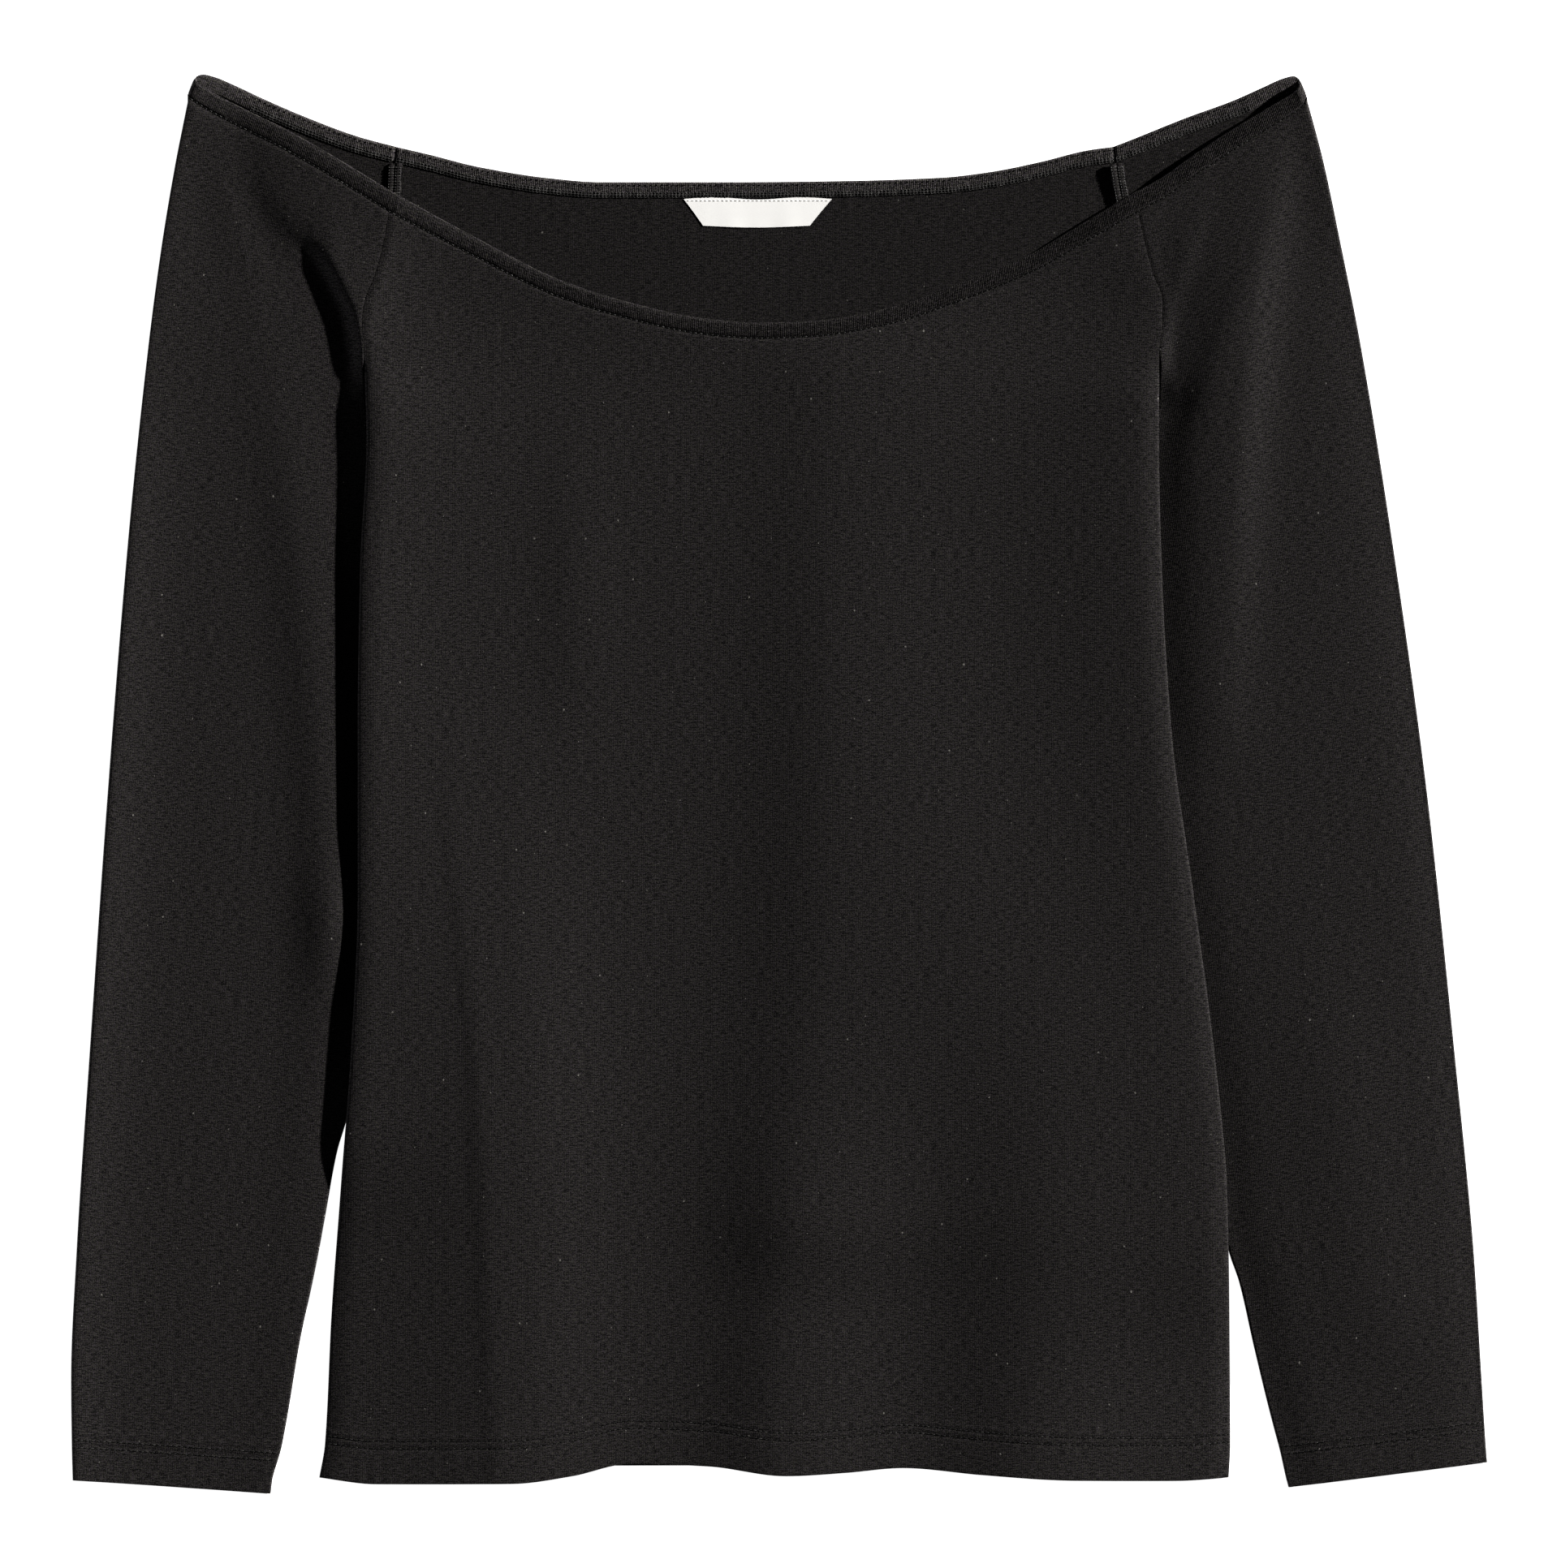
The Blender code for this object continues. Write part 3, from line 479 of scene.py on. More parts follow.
# The cap by each armhole ends at a steep fold: y, right x, left x, half width of the step
CAP_FOLD = (
    (190.0, -188.0, 171.5, 4.0),
    (205.6, -190.5, 173.5, 4.0),
    (221.8, -197.5, 180.5, 4.2),
    (233.3, -203.5, 184.5, 5.5),
    (247.0, -210.0, 188.8, 15.0),
    (268.6, -222.0, 200.0, 24.0),
    (300.0, -235.0, 215.0, 28.0),
)
print("half chest in mm:", BODY_EDGE[8][2] - BODY_EDGE[8][1])

# %% [markdown]
# ## Folds
# A jersey laid by hand keeps soft troughs and ridges where it was pulled. A solver could drop the
# cloth on the floor, but its folds would land in other places. So each crease is listed one by one: a
# crest line through three points, a height at each, and how wide its two flanks are.

# %% Table reading and soft steps
def smooth(table, at, column=1):
    """Cubic through a table's rows that never overshoots, and is level past both ends."""
    knots = np.array([row[0] for row in table], float)
    values = np.array([row[column] for row in table], float)
    at = np.clip(np.asarray(at, float), knots[0], knots[-1])
    span = np.diff(knots)
    slope = np.diff(values) / span
    product = slope[:-1] * slope[1:]
    total = np.where(product > 0, slope[:-1] + slope[1:], 1.0)
    tangent = np.concatenate([slope[:1], np.where(product > 0, 2 * product / total, 0.0), slope[-1:]])
    i = np.clip(np.searchsorted(knots, at, side="right") - 1, 0, len(span) - 1)
    t = (at - knots[i]) / span[i]
    start = values[i] * (1 + 2 * t) * (1 - t) ** 2 + tangent[i] * span[i] * t * (1 - t) ** 2
    return start + values[i + 1] * t * t * (3 - 2 * t) + tangent[i + 1] * span[i] * t * t * (t - 1)


def step(t):
    """Smooth rise from 0 to 1 as t goes from 0 to 1."""
    t = np.clip(t, 0.0, 1.0)
    return t * t * (3 - 2 * t)


def bell(distance, reach):
    """1 at no distance, falling softly to almost nothing at twice the reach."""
    return np.exp(-((distance / reach) ** 2))


def mix(first, last, share):
    return first * (1 - share) + last * share


def points_of(*coordinates):
    """Points from their x, their y and, where it is given, their height."""
    return np.stack(np.broadcast_arrays(*coordinates), axis=-1)


def at_side(table, y, side, kind=0):
    """A table's value for one side. Tables of heights hold both lifts and then both tops."""
    return smooth(table, y, COLUMN[side] + kind)


def from_edge(x, y, side):
    """Distance inwards from the body edge."""
    return (at_side(BODY_EDGE, y, side) - x) * OUTWARD[side]


def along_table(table, share):
    """Points of an outline of x and y, at shares of its width."""
    x = mix(table[0][0], table[-1][0], share)
    return points_of(x, smooth(table, x))


# %% Fold tables
# top x, y, middle x, y, bottom x, y, heights at the three, width of the -X flank and the +X flank
FRONT_FOLDS = (
    (28, 175, 24, -40, 12, -190, (1.7, 3.0, 2.7), 36, 62),
    (8, -140, 4, -215, 0, -312, (0.4, 2.4, 3.3), 28, 45),
    (82, 30, 92, -80, 100, -180, (0.2, 2.0, 0.9), 50, 60),
    (124, -70, 117, -200, 113, -312, (0.3, 3.0, 4.0), 40, 50),
    (-124, 0, -119, -137, -117, -312, (0.8, 3.1, 3.1), 48, 36),
    (-147, 0, -134, -137, -126, -312, (0.1, 0.4, 0.3), 4, 9),
    (-92, 150, -91, 90, -92, 20, (0.2, 0.7, 0.2), 14, 18),
)
SLEEVE_FOLDS = {
    RIGHT: (
        (-230, 222, -209, 80, -197, -60, (0.0, 1.2, 1.5), 14, 20),
        (-199, -60, -205, -150, -216, -290, (1.4, 0.7, 0.3), 15, 20),
        (-225, 272, -219, 250, -208, 228, (0.2, 0.6, 0.0), 8, 13),
        (-252, 290, -243, 250, -233, 226, (0.3, 0.4, 0.2), 10, 7),
    ),
    LEFT: (
        (222, 292, 206, 196, 195, 40, (1.2, 2.6, 0.9), 26, 12),
        (189, 262, 178, 232, 168, 206, (0.1, 0.5, 0.2), 9, 4),
        (217, 245, 198, 204, 180, 152, (0.1, 0.4, 0.2), 6, 9),
        (236, -60, 246, -130, 264, -230, (0.2, 0.8, 1.0), 26, 24),
    ),
}
FOLD_END_FADE = 45.0
FOLD_CLEAR = 14.0
print("folds:", len(FRONT_FOLDS), "on the front")
print("folds on the sleeves:", sum(map(len, SLEEVE_FOLDS.values())))


# %% Height of a set of folds
def fold_height(folds, x, y):
    """Sum of soft ridges. Each crest follows a curve through its three points."""
    total = np.zeros_like(x)
    for top_x, top_y, mid_x, mid_y, low_x, low_y, heights, minus_width, plus_width in folds:
        along = ((low_y, low_x, heights[2]), (mid_y, mid_x, heights[1]), (top_y, top_x, heights[0]))
        off = x - smooth(along, y)
        width = np.where(off < 0, minus_width, plus_width)
        fade = step((y - low_y) / FOLD_END_FADE + 1) * step((top_y - y) / FOLD_END_FADE + 1)
        total = total + smooth(along, y, 2) * fade * bell(off, width)
    return total


# %% [markdown]
# ## Heights of the body
# The back lies on the floor and lifts at both sides, where the sleeves are tucked under it. The
# front lies on the back, is fuller at its side folds, and stands up a little at the neck rim.

# %% Back and front heights
LIFT_FALL, LIFT_LEVEL = 30.0, 1.5
RIM_LOFT, RIM_LOFT_REACH = 0.6, 22.0
# The front falls from each body edge: level for, then reach and shape of the fall
EDGE_LEVEL = 3.0
EDGE_REACH = {RIGHT: 42.0, LEFT: 60.0}
EDGE_SHAPE = {RIGHT: 1.1, LEFT: 1.5}
NECK_SHARPENS, NECK_FROM_Y, NECK_OVER = 0.55, 130.0, 90.0


def back_underside(x, y):
    """Underside of the back: on the floor, and lifted where it lies over a tucked sleeve."""
    height = np.zeros_like(x)
    for side in SIDES:
        inside = from_edge(x, y, side)
        flat_for = np.maximum(at_side(TUCK, y, side), 0.0) + LIFT_LEVEL
        falls = step((inside - flat_for) / LIFT_FALL)
        height = height + at_side(BODY_ROLL, y, side, LIFT) * (1 - falls)
    return height


def front_top(x, y):
    """Upper face of the front: highest at the body edges, falling to the middle, with soft folds."""
    flat = 2 * WALL + LAYER_GAP
    height = np.full_like(x, flat)
    at_edge = np.zeros_like(x)
    for side in SIDES:
        inside = from_edge(x, y, side)
        reach = EDGE_REACH[side] * (1 - NECK_SHARPENS * step((y - NECK_FROM_Y) / NECK_OVER))
        fall = np.maximum(inside - EDGE_LEVEL, 0.0) / reach
        near_edge = np.exp(-(fall ** EDGE_SHAPE[side]))
        height = height + (at_side(BODY_ROLL, y, side, TOP) - flat) * near_edge
        at_edge = np.maximum(at_edge, bell(inside, FOLD_CLEAR))
    below_rim = smooth(FRONT_RIM, x) - y
    loft = RIM_LOFT * bell(below_rim, RIM_LOFT_REACH) + fold_height(FRONT_FOLDS, x, y)
    return height + loft * (1 - at_edge)


# %% [markdown]
# ## Sewn relief
# Sewing leaves small marks in the cloth. The hem is turned up, so it is a little fuller below its
# twin needle rows, and each row pulls a groove. At a seam both edges turn down into it.

# %% Relief of hems and seams
TWIN_ROWS = (15.8, 19.1)
TURN_UP_END = 20.5
GROOVE_DEPTH, GROOVE_HALF_WIDTH = 0.16, 0.7
NECK_DIP, ARMHOLE_DIP, SEAM_DIP_REACH = 0.3, 0.13, 0.8
HEM_FULLNESS, HEM_FULLNESS_FADE = 0.15, 1.8
HEM_LIP, HEM_LIP_WIDTH = 0.12, 0.9
ARMHOLE_DIP_STARTS, ARMHOLE_DIP_GROWS = 4.0, 10.0


def twin_grooves(distance):
    """How deep the twin needle rows pull the cloth in, at a distance up from its edge."""
    rows = (bell(distance - row, GROOVE_HALF_WIDTH) for row in TWIN_ROWS)
    return GROOVE_DEPTH * sum(rows)


def turned_hem_relief(distance):
    """Relief at a distance up from a turned and twin needled edge."""
    fuller = HEM_FULLNESS * (1 - step((distance - TURN_UP_END) / HEM_FULLNESS_FADE))
    lip = np.clip(1 - distance / HEM_LIP_WIDTH, 0.0, 1.0) ** 2
    return fuller - twin_grooves(distance) - HEM_LIP * lip


def seam_relief(distance, dip):
    """Relief at a distance from a seam, where the cloth's edge turns down into it."""
    return -dip * bell(np.maximum(distance, 0.0), SEAM_DIP_REACH)


def armhole_relief(distance, y):
    """Relief of an armhole seam, which starts a little above the underarm."""
    grown = step((y - UNDERARM_Y - ARMHOLE_DIP_STARTS) / ARMHOLE_DIP_GROWS)
    return seam_relief(distance, ARMHOLE_DIP) * grown


# %% [markdown]
# ## From a grid of points to a wall of cloth
# Each piece is a grid of points on its outer face. Solidify could thicken it, but a sleeve is part
# tube and part open, so the wall is made directly: the same grid moved in along its own normals,
# and faces round every free edge. The UV map holds distances along the cloth in metres.

# %% Directions along a grid
SHARP_ANGLE = np.radians(50)


def unit(vectors):
    return vectors / np.maximum(np.linalg.norm(vectors, axis=-1, keepdims=True), 1e-9)


def tangents(points):
    """Directions along the first axis. At both ends the turn of the last two steps is carried on."""
    steps = np.diff(points, axis=0)
    lengths = np.linalg.norm(steps, axis=-1, keepdims=True)
    steps = unit(steps)
    first = steps[0] + (steps[0] - steps[1]) * lengths[0] / (lengths[0] + lengths[1])
    last = steps[-1] + (steps[-1] - steps[-2]) * lengths[-1] / (lengths[-1] + lengths[-2])
    return np.concatenate([first[None], steps[1:] + steps[:-1], last[None]])


def outer_normals(points, facing, closed_rows=0):
    """Normals of a grid of rows by columns. The lowest closed_rows rows are closed loops."""
    along = tangents(points)
    across = tangents(points.swapaxes(0, 1)).swapaxes(0, 1)
    start, end = (unit(points[:closed_rows, i + 1] - points[:closed_rows, i]) for i in (0, -2))
    across[:closed_rows, 0] = across[:closed_rows, -1] = start + end
    return facing * unit(np.cross(unit(across), unit(along)))


# %% Mesh with a UV map
def quads(*corners):
    return np.stack([corner.ravel() for corner in corners], axis=1)


def store(mesh, name, values):
    """Store one number for each point of a mesh."""
    attribute = mesh.attributes.new(name, "FLOAT", "POINT")
    attribute.data.foreach_set("value", np.ascontiguousarray(values, float))


# The purl side of jersey is a little darker. A band's inner side is painted paler: a painted highlight
# for the light that it catches as it tilts towards the key light.
PURL_TONE, BAND_INSIDE_PAINTED_HIGHLIGHT = 0.72, 2.4


def mesh_object(name, points, faces, weld, cloth_map, material, tone):
    """Object from points in millimetres. Corners keep their own UV where points are welded."""
    used, number = np.unique(weld, return_inverse=True)
    mesh = bpy.data.meshes.new(name)
    mesh.from_pydata((points[used] * MM).tolist(), [], number.ravel()[faces].tolist())
    layer = mesh.uv_layers.new(name="cloth")
    layer.data.foreach_set("uv", (cloth_map[faces.ravel()] * MM).ravel())
    store(mesh, "tone", tone[used])
    mesh.shade_smooth()
    mesh.set_sharp_from_angle(angle=SHARP_ANGLE)
    mesh.materials.append(material)
    made = bpy.data.objects.new(name, mesh)
    bpy.context.scene.collection.objects.link(made)
    return made


def cloth_wall(name, points, cloth_map, material, facing=1, closed_rows=0, thickness=WALL):
    """Closed wall between a grid of outer points and the same grid moved in by its thickness."""
    inner = points - thickness * outer_normals(points, facing, closed_rows)
    rows, columns = points.shape[:2]
    number = np.arange(2 * rows * columns).reshape(2, rows, columns)
    weld = number.copy()
    weld[:, :closed_rows, -1] = number[:, :closed_rows, 0]
    out, into = number
    low = max(closed_rows - 1, 0)
    faces = np.concatenate(
        [
            quads(out[:-1, :-1], out[:-1, 1:], out[1:, 1:], out[1:, :-1]),
            quads(into[:-1, :-1], into[1:, :-1], into[1:, 1:], into[:-1, 1:]),
            quads(out[0, 1:], out[0, :-1], into[0, :-1], into[0, 1:]),
            quads(out[-1, :-1], out[-1, 1:], into[-1, 1:], into[-1, :-1]),
            quads(out[low:-1, 0], out[low + 1 :, 0], into[low + 1 :, 0], into[low:-1, 0]),
            quads(out[low + 1 :, -1], out[low:-1, -1], into[low:-1, -1], into[low + 1 :, -1]),
        ]
    )
    if facing < 0:
        faces = faces[:, ::-1]
    both = np.concatenate([points.reshape(-1, 3), inner.reshape(-1, 3)])
    flat = np.concatenate([cloth_map.reshape(-1, 2)] * 2)
    tone = np.repeat([1.0, PURL_TONE], rows * columns)
    made = mesh_object(name, both, faces, weld.ravel(), flat, material, tone)
    print(name, "has", len(made.data.polygons), "faces")
    return made


# %% [markdown]
# ## Rolled edges and rows
# Where front and back meet at a side there is no seam to see: the cloth rolls round. A quarter
# circle of the right length does it. The rows of each grid run straight across and bend to the
# curved hem and neck at their ends. They lie closer together at the twin needle rows.

# %% Rolls and plans
def roll(arc, radius, share):
    """Inset and drop along a rolled edge, at a distance along the cloth from its end."""
    length = radius * np.pi / 2
    bend = np.maximum(share, 1e-4) / radius
    left = np.clip(length - arc, 0.0, None)
    inset = (np.sin(bend * length) - np.sin(bend * left)) / bend + np.clip(arc - length, 0.0, None)
    return inset, (1 - np.cos(bend * left)) / bend


HEM_BEND, NECK_BEND = 1.5, 5.0


def plan_rows(minus, plus, share, bottom, top):
    """Plan of a panel: straight rows between its two side edges, bent to its end edges."""
    climb = ((minus[:, 1] - minus[0, 1]) / (minus[-1, 1] - minus[0, 1]))[:, None, None]
    share = share[..., None]
    rows = mix(minus[:, None], plus[:, None], share)
    low = bottom - mix(minus[0], plus[0], share[0])
    high = top - mix(minus[-1], plus[-1], share[-1])
    return rows + (1 - climb) ** HEM_BEND * low + climb**NECK_BEND * high


def lean_to_base(rim, lean, depth):
    """Points at a depth below the rim, measured along a line that leans sideways."""
    down = unit(points_of(lean, -np.ones_like(lean)))
    return rim + down * depth[..., None]


# %% Rows and columns of the fine grids
HEM_ROWS = (
    *(0.0, 0.4, 0.9, 1.8, 3.5, 6.5, 9.5, 12.0, 14.0, 15.0, 15.5),
    *(16.1, 16.8, 17.6, 18.4, 19.0, 19.6, 20.4, 21.5, 23.0, 25.5),
)
ROW_STEP = 2.9
UNDERARM_FROM_Y, UNDERARM_STEP = 184.0, 1.5
LAST_ROWS_FROM_Y, LAST_ROWS = 241.0, 5
NECK_ROWS = (5.0, 3.6, 2.4, 1.4, 0.7, 0.0)


def row_heights(bottom_y, top_y):
    """Heights of a piece's rows at its edge. All but the last few are the same on both layers."""
    middle = np.arange(bottom_y + HEM_ROWS[-1] + ROW_STEP, UNDERARM_FROM_Y - ROW_STEP / 2, ROW_STEP)
    close = np.arange(UNDERARM_FROM_Y, LAST_ROWS_FROM_Y, UNDERARM_STEP)
    last = np.linspace(LAST_ROWS_FROM_Y, top_y - NECK_ROWS[0], LAST_ROWS)[:-1]
    hem, neck = bottom_y + np.array(HEM_ROWS), top_y - np.array(NECK_ROWS)
    return np.concatenate([hem, middle, close, last, neck])


def columns_between(first, last, count):
    """Even shares between the innermost edge columns of two sides."""
    even = np.linspace(0.0, 1.0, count + 2)[1:-1]
    return first[:, -1:] + (last[:, :1] - first[:, -1:]) * even


print("rows at a hem:", len(HEM_ROWS))

# %% [markdown]
# ## Neckband lines
# The neckband's rim is known from the photograph, and its base lies one band's depth below, leaning
# a little outwards near the seams. The panels end at the base line, so both are worked out first.

# %% Rim and base of the neckband
BAND_GAP_AT_FOLD = 2.6


def front_band_base(share, extra=0.0):
    towards_seam = np.abs(2 * share - 1) ** 2
    depth = mix(BAND_DEPTH["front centre"], BAND_DEPTH["front seam"], towards_seam)
    lean = BAND_LEAN["front seam"] * (2 * share - 1)
    return lean_to_base(along_table(FRONT_RIM, share), lean, depth + extra)


def back_band_base(share, extra=0.0):
    depth = np.full_like(share, BAND_DEPTH["back"] + extra)
    return lean_to_base(along_table(BACK_RIM, share), BAND_LEAN["back seam"] * (2 * share - 1), depth)


def sleeve_band_base(side, layer, share, extra=0.0):
    table = (SLEEVE_FRONT_RIM if layer == "front" else SLEEVE_BACK_RIM)[side]
    rim = points_of(smooth(table, share, 1), smooth(table, share, 2))
    seam_depth = BAND_DEPTH["front seam"] if layer == "front" else BAND_DEPTH["sleeve back"]
    lean = mix(BAND_LEAN[layer + " seam"], BAND_LEAN["sleeve fold"], share)
    depth = mix(seam_depth, BAND_DEPTH["sleeve fold"], share)
    widened = extra * (1 + (BAND_GAP_AT_FOLD - 1) * share**6)
    return lean_to_base(rim, OUTWARD[side] * lean, depth + widened), rim


# %% [markdown]
# ## Front and back panels
# Each panel is one cut piece of jersey. Both side edges roll by a quarter turn, so the two panels
# meet at the side seam, which lies inside the roll. From the underarm up the edge is the armhole
# seam, where the panel lies flat and its edge turns down.

# %% Panel builder
BODY_EDGE_ARCS = (
    *(0.2, 0.7, 1.3, 1.9, 2.6, 3.4, 4.2, 5.6, 8.0),
    *(10.6, 13.5, 16.2, 19.0, 21.8, 24.5, 27.7, 31.0),
)
# Middle columns lie this far apart, on a panel whose middle is this wide
PANEL_STEP, PANEL_MIDDLE = {"front": 2.7, "back": 5.0}, 340.0


def hem_points(share):
    return along_table(FRONT_HEM, share)


def back_hem_points(share):
    y = BACK_HEM_CORNER_Y + BACK_HEM_RISE * (1 - (2 * share - 1) ** 4)
    return points_of(hem_points(share)[..., 0], y)


def front_edge(y, side):
    return at_side(BODY_EDGE, y, side)


def back_edge(y, side):
    return np.where(y > UNDERARM_Y, at_side(BACK_ARMHOLE, y, side), front_edge(y, side))


def panel_plan(panel, edge_of, bottom, top_base):
    """Plan and fall of a panel: rolled at both sides, then flat up to the armhole seams."""
    corner_y = top_base(np.array([0.0, 1.0]), SEAM_GAP)[:, 1].mean()
    heights = row_heights(BODY_EDGE[0][0], corner_y)
    arcs = np.broadcast_to(BODY_EDGE_ARCS, (len(heights), len(BODY_EDGE_ARCS)))
    ends, insets, drops = {}, {}, {}
    for side in SIDES:
        ends[side] = points_of(edge_of(heights, side), heights)
        lift, roof = (at_side(BODY_ROLL, heights, side, kind) for kind in (LIFT, TOP))
        radius, rolled = (roof - lift) / 2, smooth(ROLLED, heights)
        insets[side], drops[side] = roll(arcs, radius[:, None], rolled[:, None])
    width = (ends[LEFT][:, 0] - ends[RIGHT][:, 0])[:, None]
    first, last = insets[RIGHT] / width, 1 - insets[LEFT][:, ::-1] / width
    between = columns_between(first, last, int(PANEL_MIDDLE / PANEL_STEP[panel]))
    share = np.concatenate([first, between, last], axis=1)
    top = top_base(share[-1], SEAM_GAP)
    plan = plan_rows(ends[RIGHT], ends[LEFT], share, bottom(share[0]), top)
    fall = np.concatenate([drops[RIGHT], np.zeros_like(between), drops[LEFT][:, ::-1]], axis=1)
    return plan, fall


def panel_map(plan, fall):
    """UV map of a panel: its plan, let out by what the cloth falls at its rolled edges."""
    middle = plan.shape[1] // 2
    let_out = np.concatenate([-fall[:, :middle], fall[:, middle:]], axis=1)
    return points_of(plan[..., 0] + let_out, plan[..., 1])


# %% Front panel
def front_relief(x, y, top_y):
    """Sewn marks of the front: its hem, both armhole seams and the seam under the neckband."""
    relief = turned_hem_relief(y - smooth(FRONT_HEM, x)) + seam_relief(top_y - y, NECK_DIP)
    for side in SIDES:
        relief = relief + armhole_relief(from_edge(x, y, side), y)
    return relief


# This share of the fall at an edge is spread over this many millimetres, so that the fold is soft
EASE_SHARE, EASE_REACH = 0.55, 5.0


def eased(fall, x):
    soft = np.zeros_like(fall)
    for column in (0, -1):
        soft += fall[:, column, None] * bell(x - x[:, column, None], EASE_REACH)
    return mix(fall, soft, EASE_SHARE)


plan, fall = panel_plan("front", front_edge, hem_points, front_band_base)
x, y = plan[..., 0], plan[..., 1]
fall = eased(fall, x)
height = front_top(x, y) + front_relief(x, y, y[-1]) - fall
grid = points_of(x, y, height)
front_panel = cloth_wall("front_panel", grid, panel_map(plan, fall), jersey)

# %% Back panel
plan, fall = panel_plan("back", back_edge, back_hem_points, back_band_base)
x, y = plan[..., 0], plan[..., 1]
height = back_underside(x, y) + fall + twin_grooves(y - y[0])
grid = points_of(x, y, height)
back_panel = cloth_wall("back_panel", grid, panel_map(plan, fall), jersey, facing=-1)

# %% [markdown]
# ## Sleeves
# A sleeve is one piece, folded along its outer edge and closed at its inner edge up to the
# underarm. One row of its grid therefore runs along the front, round the outer fold and back. Above
# the underarm the row stays open, because there the sleeve is sewn to the body at the armhole.

# %% Height of a sleeve
SLEEVE_MIDDLE_TOP = {RIGHT: 2.5, LEFT: 4.2}
SLEEVE_NECK_LOFT = {RIGHT: 0.9, LEFT: 0.3}
SLEEVE_NECK_FROM_Y = 216.0
SLEEVE_INNER_REACH = 13.0
SLEEVE_OUTER_REACH = {RIGHT: 14.0, LEFT: 10.0}
SLEEVE_OUTER_SHAPE = 1.2
SLEEVE_LIFT_FALL = 7.0
CAP_FROM_Y, CAP_BLEND = 160.0, 26.0


def sleeve_top(side, plan, near_neck, from_inner, from_outer, roof, radius):
    """Upper face of a sleeve: low along its middle, full at its folds, high on the cap."""
    x, y = plan[..., 0], plan[..., 1]
    middle = SLEEVE_MIDDLE_TOP[side] + SLEEVE_NECK_LOFT[side] * near_neck
    beyond = (x - at_side(CAP_FOLD, y, side)) * OUTWARD[side]
    half = smooth(CAP_FOLD, y, 3)
    on_cap = 1 - step((beyond + half) / (2 * half))
    below = bell(from_inner, SLEEVE_INNER_REACH)
    cap_share = step((y - CAP_FROM_Y) / CAP_BLEND)
    near_inner = mix(below, on_cap, cap_share)
    past_roll = np.maximum(from_outer - radius, 0.0) / SLEEVE_OUTER_REACH[side]
    near_outer = np.exp(-(past_roll**SLEEVE_OUTER_SHAPE))
    soft = fold_height(SLEEVE_FOLDS[side], x, y) * (1 - below) * (1 - near_outer)
    rise = (roof - middle) * near_inner
    return middle + rise + soft + (2 * radius - middle) * near_outer * (1 - near_inner)


# %% Sleeve builder
SLEEVE_INNER_ARCS = (0.0, 0.6, 1.3, 2.0, 2.8, 4.2, 6.0)
SLEEVE_OUTER_ARCS = (0.0, 0.5, 1.1, 1.7, 2.3, 3.0, 3.7, 4.5, 5.4, 7.0, 9.0)
SLEEVE_COLUMNS = {"front": 48, "back": 18}
# A pressed fold is steeper than a round roll, so its rows lie this much closer to the edge
FOLD_STEEPNESS = 0.5
RELIEF_CLEARS_FOLD = 2.5
# A quarter roll takes this much more cloth than its width, for each millimetre of its radius
ROLL_LET_OUT = np.pi / 2 - 1


def sleeve_inner_edge(y, side, edge_of=front_edge):
    return edge_of(y, side) - OUTWARD[side] * at_side(TUCK, y, side)


def sleeve_frame(side):
    """Rows of a sleeve at its inner edge on both layers, and its outer fold."""
    inner_y = {}
    for layer in ("front", "back"):
        seam_base, _ = sleeve_band_base(side, layer, np.array([0.0]), SLEEVE_BAND_GAP)
        inner_y[layer] = row_heights(CUFF_INNER_Y[side], seam_base[0, 1])
    outer_y = at_side(SLEEVE_TILT, inner_y["front"], side)
    fold = points_of(at_side(SLEEVE_OUTER, outer_y, side), outer_y)
    fold[-1] = sleeve_band_base(side, "front", np.array([1.0]), SLEEVE_BAND_GAP)[0][0]
    return inner_y, fold, at_side(OUTER_RADIUS, outer_y, side)[:, None]


